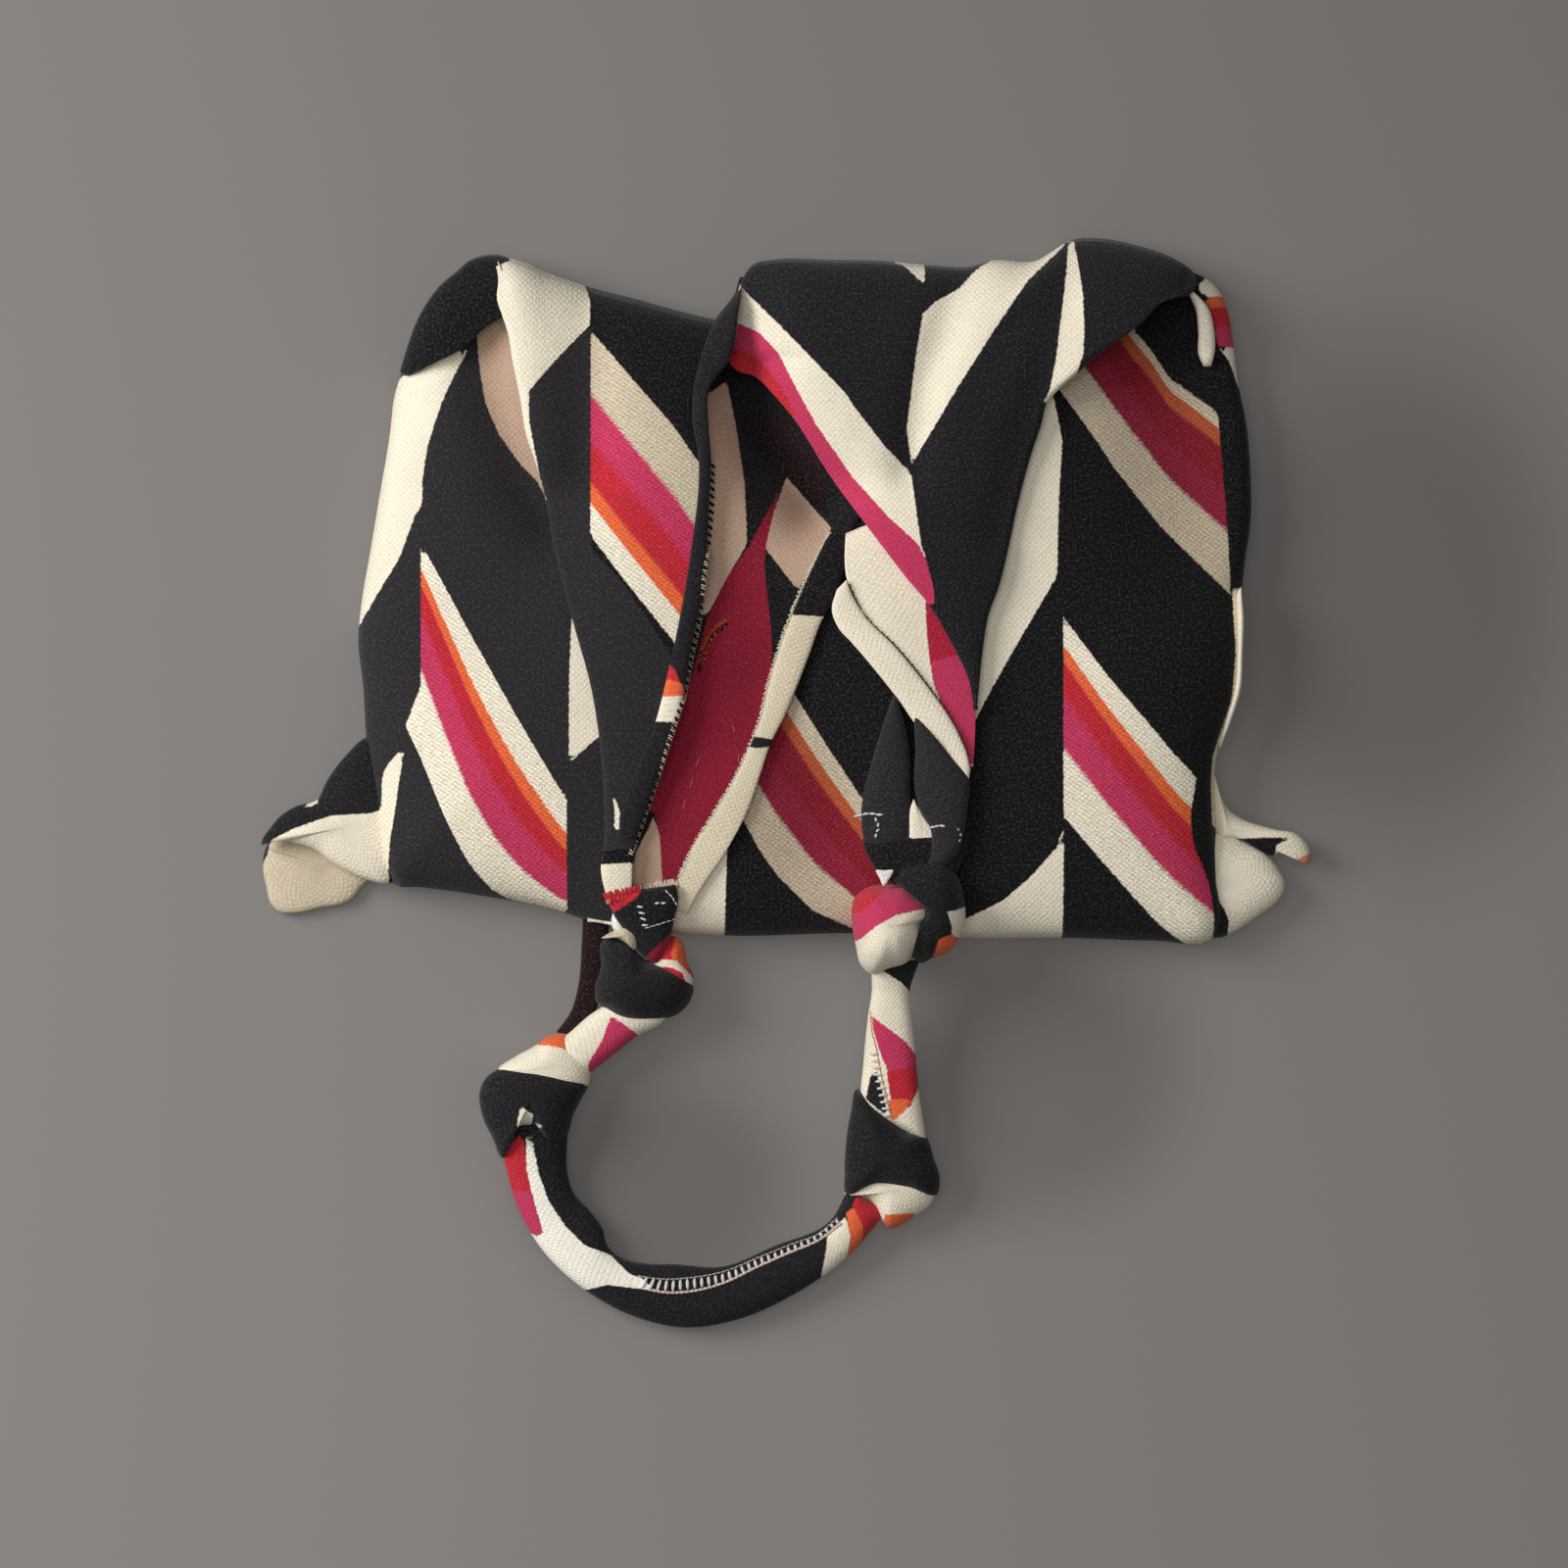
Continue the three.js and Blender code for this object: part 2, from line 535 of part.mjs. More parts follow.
// Strap: overhand knots, each two twisted passes of the strap and the turn that ties them
function knotPath(centre, axis, side) {
  const front = axis.clone().cross(side).normalize();
  const radius = KNOT_TWIST / 2;
  const pass = (start) => [...Array(9).keys()].map((i) => {
    const share = i / 8;
    const turn = start + 3 * Math.PI * share;
    return centre.clone()
      .addScaledVector(axis, (share - 0.5) * (KNOT_LENGTH - KNOT_CORD))
      .addScaledVector(side, radius * Math.cos(turn) - KNOT_CORD * 0.35)
      .addScaledVector(front, radius * Math.sin(turn));
  });
  const turnPoint = (along, out) => centre.clone()
    .addScaledVector(axis, along * KNOT_LENGTH / 2)
    .addScaledVector(side, out - KNOT_CORD * 0.35);
  const wide = radius + KNOT_CORD * 0.8;
  const back = [turnPoint(0.55, wide * 0.85), turnPoint(0, wide), turnPoint(-0.55, wide * 0.85)];
  return { first: pass(Math.PI), back, second: pass(0) };
}

function knot(centre, axis, side) {
  const path = knotPath(centre, axis, side);
  const turn = [path.first.at(-1), ...path.back, path.second[0]];
  return {
    start: path.first[0],
    end: path.second.at(-1),
    solids: [
      tube(path.first, KNOT_CORD, KNOT_CORD, 11, 8),
      tube(turn, KNOT_CORD, KNOT_CORD, 7, 8),
      tube(path.second, KNOT_CORD, KNOT_CORD, 11, 8),
    ],
  };
}

const v3 = (x, y, z) => new THREE.Vector3(x, y, z);
const FLOOR_LIE = STRAP_THICKNESS / 2;
const KNOT_LIE = (KNOT_TWIST + KNOT_CORD) / 2;
const LOOP_Y = BOTTOM - STRAP_DROP + STRAP_WIDTH / 2;
const knots = {
  leftUpper: knot(v3(LEFT_JOINT.x - 1, BOTTOM - 22, KNOT_LIE + 10), v3(-0.3, -0.95, 0).normalize(), v3(0.95, -0.3, 0)),
  leftLower: knot(v3(LEFT_JOINT.x - 46, BOTTOM - 70, KNOT_LIE), v3(-0.38, -0.92, 0).normalize(), v3(-0.92, 0.38, 0)),
  rightLower: knot(v3(RIGHT_JOINT.x - 7, BOTTOM - 97, KNOT_LIE), v3(0.3, 0.95, 0).normalize(), v3(0.95, -0.3, 0)),
  rightUpper: knot(
    v3(RIGHT_JOINT.x, BOTTOM + 3, panelHeight(RIGHT_JOINT.x, BOTTOM + 22) + LIE_GAP + KNOT_LIE),
    v3(0.05, 1, 0).normalize(), v3(1, -0.05, 0),
  ),
};

const full = (at) => station(at, STRAP_WIDTH, STRAP_THICKNESS);
const gathered = (at) => station(at, KNOT_CORD + 1, KNOT_CORD - 3);
function sleeve(joint, knotEnd) {
  const width = TIP_WIDTH + 2 * (SLEEVE_GAP + SLEEVE_WALL);
  const thick = TIP_THICKNESS + 2 * (SLEEVE_GAP + SLEEVE_WALL);
  const mouth = tipAt(joint, 0);
  const foot = tipAt(joint, -SLEEVE_DEPTH);
  const outer = strapRun([station(mouth, width, thick), station(foot, width, thick), gathered(knotEnd)], 7);
  const inner = strapRun([
    station(tipAt(joint, 4), TIP_WIDTH + 2 * SLEEVE_GAP, TIP_THICKNESS + 2 * SLEEVE_GAP),
    station(tipAt(joint, -SLEEVE_DEPTH + 2 - SLEEVE_GAP), TIP_WIDTH + 2 * SLEEVE_GAP, TIP_THICKNESS + 2 * SLEEVE_GAP),
  ], 3);
  return { outer, inner };
}

const leftSleeve = sleeve(LEFT_JOINT, knots.leftUpper.start);
const rightSleeve = sleeve(RIGHT_JOINT, knots.rightUpper.end);
const between = knots.leftUpper.end.clone().lerp(knots.leftLower.start, 0.5).setZ(FLOOR_LIE + 4);
const stretches = [
  strapRun([gathered(knots.leftUpper.end), station(between, STRAP_WIDTH, STRAP_THICKNESS), gathered(knots.leftLower.start)], 6),
  strapRun([
    gathered(knots.leftLower.end), full(v3(LEFT_JOINT.x - 45, LOOP_Y + 52, FLOOR_LIE)),
    full(v3(LEFT_JOINT.x - 34, LOOP_Y + 24, FLOOR_LIE)), full(v3(LEFT_JOINT.x - 10, LOOP_Y + 5, FLOOR_LIE)),
    full(v3(LEFT_JOINT.x + 22, LOOP_Y, FLOOR_LIE)), full(v3(RIGHT_JOINT.x - 50, LOOP_Y + 9, FLOOR_LIE)),
    full(v3(RIGHT_JOINT.x - 29, LOOP_Y + 27, FLOOR_LIE)), gathered(knots.rightLower.start),
  ], 26),
  strapRun([
    gathered(knots.rightLower.end), full(v3(RIGHT_JOINT.x - 8, BOTTOM - 58, FLOOR_LIE + 9)),
    full(v3(RIGHT_JOINT.x - 7, BOTTOM - 28, FLOOR_LIE + 16)), gathered(knots.rightUpper.start),
  ], 10),
];

const aboveFloor = new THREE.BoxGeometry(4 * BODY_WIDTH, 4 * BODY_LENGTH, 4 * POUCH_HEIGHT);
aboveFloor.translate(0, 0, 2 * POUCH_HEIGHT);
const strap = withoutPockets(join([
  ...Object.values(knots).flatMap((k) => k.solids), ...stretches,
  leftSleeve.outer.subtract(leftSleeve.inner), rightSleeve.outer.subtract(rightSleeve.inner),
]).intersect(toSolid(aboveFloor)));

// The bag rests on its back, with the origin on the floor under its middle
const cloth = new THREE.MeshStandardMaterial({ color: 0x262429, roughness: 0.95, metalness: 0 });
const strapCloth = new THREE.MeshStandardMaterial({ color: 0xd9cdb5, roughness: 0.95, metalness: 0 });
const bag = new THREE.Group();
for (const [name, body, material] of [['bag_body', bagBody, cloth], ['handle_strap', strap, strapCloth]]) {
  const mesh = new THREE.Mesh(toGeometry(body), material);
  mesh.name = name;
  bag.add(mesh);
}
const bounds = new THREE.Box3().setFromObject(bag);
const middle = bounds.getCenter(new THREE.Vector3());
bag.children.forEach((mesh) => mesh.geometry.translate(-middle.x, -middle.y, -bounds.min.z));

export default bag;
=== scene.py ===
# %% [markdown]
# A soft cloth tote bag lies on its back. Two pointed ears are folded forward over its
# front, and their tips are sewn into a knotted cloth strap. The shape comes from a packed
# model, which is loaded first, so that every piece made here shares its frame.

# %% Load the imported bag
import math
from functools import partial, partialmethod

import bpy
import numpy as np
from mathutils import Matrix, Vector
from mathutils.bvhtree import BVHTree


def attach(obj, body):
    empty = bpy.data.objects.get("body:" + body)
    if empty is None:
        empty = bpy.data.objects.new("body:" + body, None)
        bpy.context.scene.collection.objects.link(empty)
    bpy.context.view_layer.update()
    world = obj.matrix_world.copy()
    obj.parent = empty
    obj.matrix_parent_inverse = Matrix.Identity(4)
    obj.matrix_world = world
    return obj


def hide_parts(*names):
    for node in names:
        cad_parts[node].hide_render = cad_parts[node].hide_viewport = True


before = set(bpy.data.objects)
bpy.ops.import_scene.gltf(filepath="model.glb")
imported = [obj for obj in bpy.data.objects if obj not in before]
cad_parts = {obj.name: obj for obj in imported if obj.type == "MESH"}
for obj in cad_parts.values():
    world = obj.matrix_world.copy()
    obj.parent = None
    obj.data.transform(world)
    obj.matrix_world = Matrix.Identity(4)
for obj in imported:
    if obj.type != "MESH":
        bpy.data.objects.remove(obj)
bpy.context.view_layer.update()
MM = 0.001
print("packed nodes:", ", ".join(sorted(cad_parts)))

# %% [markdown]
# All the outlines below are seen from above and are in millimetres. A curve is drawn through
# a few points, so an edge of cloth needs only the points where it bends. Each smooth path
# here is a cubic through its points, spaced evenly along its length.

# %% Smooth paths
# Points on the curve from each given point to the next, and along a line that is laid on cloth.
SPAN, LINE_POINTS = 24, 60


def lengths(line):
    """How far each point of a line is from its start, measured along it."""
    return np.concatenate([[0], np.cumsum(np.linalg.norm(np.diff(line, axis=0), axis=1))])


def points_at(line, far, want):
    """The points of a line at the wanted distances along it."""
    return np.column_stack([np.interp(want, far, line[:, k]) for k in range(line.shape[1])])


def smooth_path(points, count, closed=False):
    """Evenly spaced points on a smooth curve through the given ones."""
    knots = np.array(points, float)
    if closed:
        knots = np.vstack([knots[-1:], knots, knots[:2]])
    at = lengths(knots)
    slope = np.gradient(knots, at, axis=0)
    t = np.linspace(0, 1, SPAN, endpoint=False)[:, None]
    first, last = (1, len(knots) - 2) if closed else (0, len(knots) - 1)
    fine = []
    for i in range(first, last):
        run = at[i + 1] - at[i]
        fine.append(
            (1 + 2 * t) * (1 - t) ** 2 * knots[i]
            + t * (1 - t) ** 2 * run * slope[i]
            + t**2 * (3 - 2 * t) * knots[i + 1]
            + t**2 * (t - 1) * run * slope[i + 1]
        )
    fine = np.vstack(fine + [knots[last : last + 1]])
    far = lengths(fine)
    return points_at(fine, far, np.linspace(0, far[-1], count, endpoint=not closed))


def spread(values, count):
    """A few values along a run, eased to one for each point of it."""
    values = np.atleast_1d(np.array(values, float))
    if len(values) == 1:
        return np.full(count, values[0])
    return np.interp(np.linspace(0, len(values) - 1, count), np.arange(len(values)), values)


def rounded(share, power):
    """A rise from nought to one that bends over like the edge of a cushion."""
    return (1 - (1 - share) ** power) ** (1 / power)


def inside(points, outline):
    """How far each point lies inside a closed outline, negative outside."""
    a = np.array(outline, float)
    b = np.roll(a, -1, axis=0)
    p = np.array(points, float)[:, None, :]
    edge = b - a
    t = ((p - a) * edge).sum(2) / np.maximum((edge**2).sum(1), 1e-9)
    near = a + np.clip(t, 0, 1)[:, :, None] * edge
    gap = np.sqrt(((p - near) ** 2).sum(2)).min(1)
    above = a[:, 1] > p[:, :, 1]
    cross = above != (b[:, 1] > p[:, :, 1])
    rise = np.where(np.abs(edge[:, 1]) < 1e-9, 1e-9, edge[:, 1])
    at = edge[:, 0] * (p[:, :, 1] - a[:, 1]) / rise + a[:, 0]
    odd = (cross & (p[:, :, 0] < at)).sum(1) % 2
    return np.where(odd == 1, gap, -gap)


# %% [markdown]
# Every piece of cloth is a grid of points: rows along it, columns across it. One helper turns
# such a grid into a mesh, closes it where it should be closed, and lays a map on it that
# measures the cloth itself, so that the weave keeps its size on every piece.

# %% Grids of cloth
def grid_mesh(name, grid, plan=None, ring=False, caps=False):
    """A mesh from rows of points in millimetres; plan is where each point is painted."""
    grid = np.array(grid, float)
    rows, cols = grid.shape[:2]
    points = list(grid.reshape(-1, 3))
    faces = []
    for r in range(rows - 1):
        for c in range(cols if ring else cols - 1):
            d = (c + 1) % cols
            faces.append((r * cols + c, r * cols + d, (r + 1) * cols + d, (r + 1) * cols + c))
    if caps:
        for r, turn in ((0, -1), (rows - 1, 1)):
            points.append(grid[r].mean(0))
            for c in range(cols):
                d = (c + 1) % cols
                corner = [r * cols + c, r * cols + d, len(points) - 1]
                faces.append(tuple(corner[::turn]))
    mesh = bpy.data.meshes.new(name)
    mesh.from_pydata([tuple(p * MM) for p in points], [], faces)
    mesh.polygons.foreach_set("use_smooth", [True] * len(mesh.polygons))
    along = np.linalg.norm(np.diff(grid, axis=0), axis=2)
    along = np.vstack([np.zeros((1, cols)), np.cumsum(along, axis=0)])
    wide = np.linalg.norm(np.diff(grid, axis=1), axis=2).mean(0)
    wide = np.tile(np.concatenate([[0], np.cumsum(wide)]), (rows, 1))
    cloth = np.stack([wide, along], axis=2).reshape(-1, 2)
    if plan is not None:
        cloth = np.array(plan, float).reshape(-1, 2)
    cloth = np.vstack([cloth] + [cloth[:1]] * (len(points) - rows * cols))
    corners = np.zeros(len(mesh.loops), int)
    mesh.loops.foreach_get("vertex_index", corners)
    layer = mesh.uv_layers.new(name="cloth")
    layer.data.foreach_set("uv", (cloth[corners] * MM).ravel())
    mesh.update()
    piece = bpy.data.objects.new(name, mesh)
    bpy.context.scene.collection.objects.link(piece)
    seen = np.array(points)[:, :2]
    if plan is not None:
        seen[: rows * cols] = np.array(plan).reshape(-1, 2)
    painted_at[name] = seen
    return piece


def turn_outwards(piece):
    """Turns a closed piece's faces outwards, by the sign of its volume."""
    mesh = piece.data
    mesh.calc_loop_triangles()
    volume = 0
    for tri in mesh.loop_triangles:
        a, b, c = (mesh.vertices[v].co for v in tri.vertices)
        volume += a.dot(b.cross(c))
    if volume < 0:
        mesh.flip_normals()
    return piece


painted_at = {}
dyed = []

# %% [markdown]
# The cloth is a heavy jacquard in black, cream, orange, red and magenta. Its pattern is a
# herringbone of plain slanted fields, so each field is drawn as an outline, and every point
# of the mesh stores how far inside that outline it lies. The shader turns that distance into
# a crisp woven edge. Colours are given as a screen shows them and changed to linear light.

# %% Colours of the yarn
def linear(r, g, b):
    """A screen colour as linear light."""
    return [((v / 255 + 0.055) / 1.055) ** 2.4 if v > 10 else v / 255 / 12.92 for v in (r, g, b)] + [1]


YARN_COLOURS = {
    # deep and charcoal are copies of the black: deep is painted shade where the black lies away from the
    # light, and charcoal is painted light where it faces the light.
    "deep": (9, 8, 9),
    "black": (24, 22, 25),
    "charcoal": (39, 37, 39),
    "cream": (239, 228, 206),
    # white is the cream with a painted highlight, where the strap's loop faces the light.
    "white": (253, 247, 231),
    # oat is the cream in painted shade, on the hem between the ears.
    "oat": (218, 204, 178),
    # flax, rust, garnet and wine are cream, orange, red and magenta in painted shade, for stripes beside
    # a fold; rust is also the colour of loose ends of yarn.
    "flax": (190, 174, 151),
    "orange": (232, 104, 58),
    "rust": (172, 80, 46),
    "red": (192, 38, 50),
    "garnet": (126, 18, 34),
    "magenta": (196, 54, 92),
    "wine": (134, 26, 50),
    "crimson": (136, 18, 44),
    "scarlet": (176, 30, 58),
    # blush is a pale pink; on the front beside the left ear it is cream in painted shade.
    "blush": (190, 160, 138),
    # tan is a darker cream; on the left tab's lower fold and at the top of the left ear's stripes it is
    # painted shade.
    "tan": (204, 189, 164),
    # dark is painted shade where it fills the open mouth, the top of the mouth on the hem and the hollow
    # under the right tab's point; it is also a thread's colour.
    "dark": (16, 10, 13),
    # maroon is painted shade: the strand of strap in shadow behind the upper left knot, and the hollow
    # at the top of the mouth.
    "maroon": (31, 7, 10),
    "thread": (240, 236, 228),
    "brown": (92, 62, 44),
    "salmon": (222, 150, 118),
    "shell": (228, 202, 188),
}
YARN = {name: linear(*colour) for name, colour in YARN_COLOURS.items()}
STRIPES = ("cream", "orange", "red", "magenta", "cream")
# Stripes beside a fold take these darker colours, as painted shade.
SHADED_STRIPES = ("flax", "rust", "garnet", "wine", "flax")
# The last stripe of the left ear, at its top, is tan: cream in painted shade.
EAR_STRIPES = ("cream", "orange", "red", "magenta", "tan")
print("yarns:", len(YARN))

# %% [markdown]
# A shader is a tree of small steps. One helper adds a step and fills its sockets, and a value
# that comes out of a step can be added, multiplied and so on as if it were a plain number.

# %% Steps of a shader
def new_group(name, inputs, outputs, kind="ShaderNodeTree"):
    """An empty node group with named sockets, and its way in and its way out."""
    tree = bpy.data.node_groups.new(name, kind)
    for way, sockets in (("INPUT", inputs), ("OUTPUT", outputs)):
        for title, sort in sockets.items():
            tree.interface.new_socket(name=title, in_out=way, socket_type="NodeSocket" + sort)
    return tree, tree.nodes.new("NodeGroupInput").outputs, tree.nodes.new("NodeGroupOutput").inputs


def join(tree, value, socket):
    """Puts a number, a yarn's name or what comes out of another step into a socket."""
    if isinstance(value, Value):
        value = value.socket
    if isinstance(value, str):
        value = YARN[value]
    if isinstance(value, bpy.types.NodeSocket):
        tree.links.new(value, socket)
    else:
        socket.default_value = value


def add(tree, kind, inputs=None, **settings):
    """Adds a step with its settings and what goes into it, and returns what comes out."""
    node = tree.nodes.new(kind)
    for title, value in settings.items():
        setattr(node, title, value)
    for title, value in (inputs or {}).items():
        join(tree, value, node.inputs[title])
    return node.outputs


class Value:
    """A number in a shader. Sums written with it become Math steps."""

    def __init__(self, socket):
        self.socket = socket

    def step(self, job, other=0):
        tree = self.socket.id_data
        return Value(add(tree, "ShaderNodeMath", {0: self, 1: other}, operation=job)[0])

    def __rsub__(self, other):
        return self * -1 + other

    __add__ = partialmethod(step, "ADD")
    __sub__ = partialmethod(step, "SUBTRACT")
    __mul__ = partialmethod(step, "MULTIPLY")
    __truediv__ = partialmethod(step, "DIVIDE")
    __mod__ = partialmethod(step, "FLOORED_MODULO")
    __pow__ = partialmethod(step, "POWER")
    __lt__ = partialmethod(step, "LESS_THAN")
    __abs__ = partialmethod(step, "ABSOLUTE")
    least = partialmethod(step, "MINIMUM")
    most = partialmethod(step, "MAXIMUM")
    sine = partialmethod(step, "SINE")
    whole = partialmethod(step, "FLOOR")
    part = partialmethod(step, "FRACT")


def axes(tree, vector):
    """The x, y and z of a vector."""
    return [Value(side) for side in add(tree, "ShaderNodeSeparateXYZ", {0: vector})]


# A noise swings about this value.
NOISE_MIDDLE = 0.5


def noise(tree, where, scale, detail=2):
    """An uneven value from nought to one; the scale is in waves a metre."""
    inputs = {"Vector": where, "Scale": scale, "Detail": detail}
    return Value(add(tree, "ShaderNodeTexNoise", inputs)[0])


def blend(tree, how, below, above, share=1):
    """One colour mixed with another, by the share of the upper one."""
    inputs = {"Factor": share, "A": below, "B": above}
    return add(tree, "ShaderNodeMix", inputs, data_type="RGBA", blend_type=how)["Result"]


def new_finish(name, values):
    """A new finish with plain values for its main shader; returns it, its tree and its sockets."""
    finish = bpy.data.materials.new(name)
    finish.use_nodes = True
    sockets = finish.node_tree.nodes["Principled BSDF"].inputs
    for title, value in values.items():
        sockets[title].default_value = value
    return finish, finish.node_tree, sockets


# %% [markdown]
# Two shader groups are shared by all the cloth. The first is the weave: slanted rows of yarn a
# little over two millimetres apart, with some unevenness and lint. The second turns a distance
# into a woven edge, a little ragged because yarns start and stop there. The five stripes are
# coloured by the share across their band, and beside a deep fold they take darker colours, as
# painted shade. A third group draws the same herringbone by a formula, for the back that nobody
# has seen.

# %% The weave
WEAVE_PITCH = 2.4 * MM
FUZZ_SCALE, PATCH_SCALE, LINT_SCALE = 1000, 45, 950
YARN_WOBBLE = 2.2
YARN_HEIGHT, FUZZ_HEIGHT, LEAST_HEIGHT = 0.6, 1.7, 0.25
HEIGHT_SHADE, LEAST_SHADE, PATCH_SHADE = 0.34, 0.83, 0.24
LINT_FROM, LINT_SHADE = 0.48, 0.13
weave, w_in, w_out = new_group(
    "jacquard weave", {"Cloth": "Vector"}, {"Shade": "Float", "Height": "Float", "Lint": "Float"}
)
x, y, _ = axes(weave, w_in["Cloth"])
fuzz = noise(weave, w_in["Cloth"], FUZZ_SCALE, detail=3)
patch = noise(weave, w_in["Cloth"], PATCH_SCALE, detail=3)
flecks = noise(weave, w_in["Cloth"], LINT_SCALE)
wobble = fuzz * YARN_WOBBLE
rib, tuft = [abs((way * (math.pi / WEAVE_PITCH) + wobble).sine()) for way in (x + y, x - y)]
height = rib.least(tuft) * YARN_HEIGHT + ((fuzz - NOISE_MIDDLE) * FUZZ_HEIGHT + LEAST_HEIGHT)
shade = height * HEIGHT_SHADE + LEAST_SHADE + (patch - NOISE_MIDDLE) * PATCH_SHADE
join(weave, height, w_out["Height"])
join(weave, shade, w_out["Shade"])
join(weave, (flecks - LINT_FROM).most(0) * LINT_SHADE, w_out["Lint"])
print("shader group:", weave.name)

# %% Woven edges and stripes
EDGE_SCALE = 620
# How ragged and how soft a woven edge is, in millimetres.
EDGE_RAG, EDGE_SOFT = 1.2, 0.25
woven_edge, e_in, e_out = new_group(
    "woven edge", {"Distance": "Float", "Cloth": "Vector"}, {"Mask": "Float"}
)
uneven = noise(woven_edge, e_in["Cloth"], EDGE_SCALE) - NOISE_MIDDLE
ragged = uneven * EDGE_RAG + e_in["Distance"]
ramp = {"Value": ragged, "From Min": -EDGE_SOFT, "From Max": EDGE_SOFT}
join(woven_edge, add(woven_edge, "ShaderNodeMapRange", ramp)[0], e_out["Mask"])

FLOAT_SCALE = (420, 1300, 1)
RIB = 1.5 * MM
RIB_TURN = math.radians(32)
RIB_WOBBLE, RIB_SHARPNESS, RIB_SHADE = 2, 1.6, 0.45
FLOAT_SHADE, LEAST_STRIPE_SHADE = 0.9, 0.65
STRIPE_RAG = 0.035
FIRST_STRIPE_END = (0.19, 0.21)
STRIPE_SOFTNESS = (0.02, 0.025, 0.012)


def stripe_colours(tree, share, cloth, names):
    """The five stripes, each a fifth of the share, in slanting ribs with dark lines between."""
    along = add(tree, "ShaderNodeMapping", {"Vector": cloth, "Scale": FLOAT_SCALE})[0]
    uneven = noise(tree, along, 1) - NOISE_MIDDLE
    ramp = tree.nodes.new("ShaderNodeValToRGB")
    marks = ramp.color_ramp.elements
    for mark, place, name in zip(marks, FIRST_STRIPE_END, names):
        mark.position = place
        mark.color = YARN[name]
    for number, soft in enumerate(STRIPE_SOFTNESS, start=2):
        marks.new(number / len(names) - soft).color = YARN[names[number - 1]]
        marks.new(number / len(names) + soft).color = YARN[names[number]]
    join(tree, uneven * STRIPE_RAG + share, ramp.inputs[0])
    x, y, _ = axes(tree, cloth)
    across = x * (math.sin(RIB_TURN) * math.pi / RIB) + y * (math.cos(RIB_TURN) * math.pi / RIB)
    rib = abs((across + uneven * RIB_WOBBLE).sine())
    ribs = (rib * RIB_SHARPNESS).least(1) * RIB_SHADE
    shade = uneven * FLOAT_SHADE + LEAST_STRIPE_SHADE + ribs
    return blend(tree, "MULTIPLY", ramp.outputs[0], shade)


def stripe_share(share, across, ends):
    """Moves the stripes' ends, given at the left and right of their band, to even fifths."""
    left, right = np.array(ends[0]), np.array(ends[1])
    evened = np.zeros(len(share))
    for i, (s, a) in enumerate(zip(share, across)):
        marks = np.concatenate([[0], left + (right - left) * a, [1]])
        evened[i] = np.interp(s, marks, np.linspace(0, 1, len(marks)))
    return evened


# %% The herringbone of the back
# The width of a column, the height of one repeat, and how far a stripe falls across a column.
COLUMN, REPEAT, SLANT = 0.059, 0.162, 0.104
STRIPE_ENDS = (0.16, 0.26, 0.48, 0.70)
CREAM_SHARE = 0.42
# The back is painted this far to the left of the front, in millimetres.
BACK_AWAY = 600
herringbone, h_in, h_out = new_group(
    "herringbone", {"Cloth": "Vector"}, {"Colour": "Color", "Mask": "Float"}
)
x, y, _ = axes(herringbone, h_in["Cloth"])
column = (x + BACK_AWAY * MM) / COLUMN
fall = column.part() * SLANT
down = ((y + fall) / REPEAT * -1).part() * 2
up = ((y - fall) / REPEAT).part()
five = herringbone.nodes.new("ShaderNodeValToRGB")
five.color_ramp.interpolation = "CONSTANT"
five.color_ramp.elements[0].color = YARN[STRIPES[0]]
five.color_ramp.elements[1].position = STRIPE_ENDS[0]
five.color_ramp.elements[1].color = YARN[STRIPES[1]]
for place, name in zip(STRIPE_ENDS[1:], STRIPES[2:]):
    five.color_ramp.elements.new(place).color = YARN[name]
join(herringbone, down, five.inputs[0])
striped = blend(herringbone, "MIX", "black", five.outputs[0], down < 1)
pale = blend(herringbone, "MIX", "black", "cream", up < CREAM_SHARE)
join(herringbone, blend(herringbone, "MIX", striped, pale, column.whole() % 2), h_out["Colour"])
join(herringbone, x < -BACK_AWAY * MM / 2, h_out["Mask"])
print("shader groups:", woven_edge.name, "and", herringbone.name)

# %% [markdown]
# A finish for one piece starts from its ground colour and lays its fields over it, in order.
# A field is a colour with its outline, or a band of stripes with its upper and lower edge.
# The weave then darkens and lightens the yarn and gives the surface its bumps.

# %% Paint a piece of cloth
CLOTH_FINISH = {
    "Roughness": 0.92,
    "Specular IOR Level": 0.18,
    "Sheen Weight": 0.12,
    "Sheen Roughness": 0.45,
}
WEAVE_BUMP = {"Strength": 0.5, "Distance": 0.5 * MM}
# A stripe's edge slants, so a point is nearer to it than its height over it.
SLANT_SHARE = 0.6


def store(piece, title, values):
    """Keeps one number for each point of a piece."""
    layer = piece.data.attributes.new(title, "FLOAT", "POINT")
    layer.data.foreach_set("value", np.array(values, float))


def read(tree, title):
    """A stored number, read in a shader."""
    return add(tree, "ShaderNodeAttribute", attribute_name=title)["Fac"]


def stripes(upper, lower, ends, bound=None, names=STRIPES, turned=False):
    """A field of five stripes between an upper and a lower edge, cut off at a bound."""
    upper, lower = np.array(upper, float), np.array(lower, float)
    if bound is None:
        bound = np.vstack([upper, lower[::-1]])
    edges = {"upper": upper, "lower": lower, "ends": ends, "bound": bound}
    return {**edges, "names": names, "turned": turned}


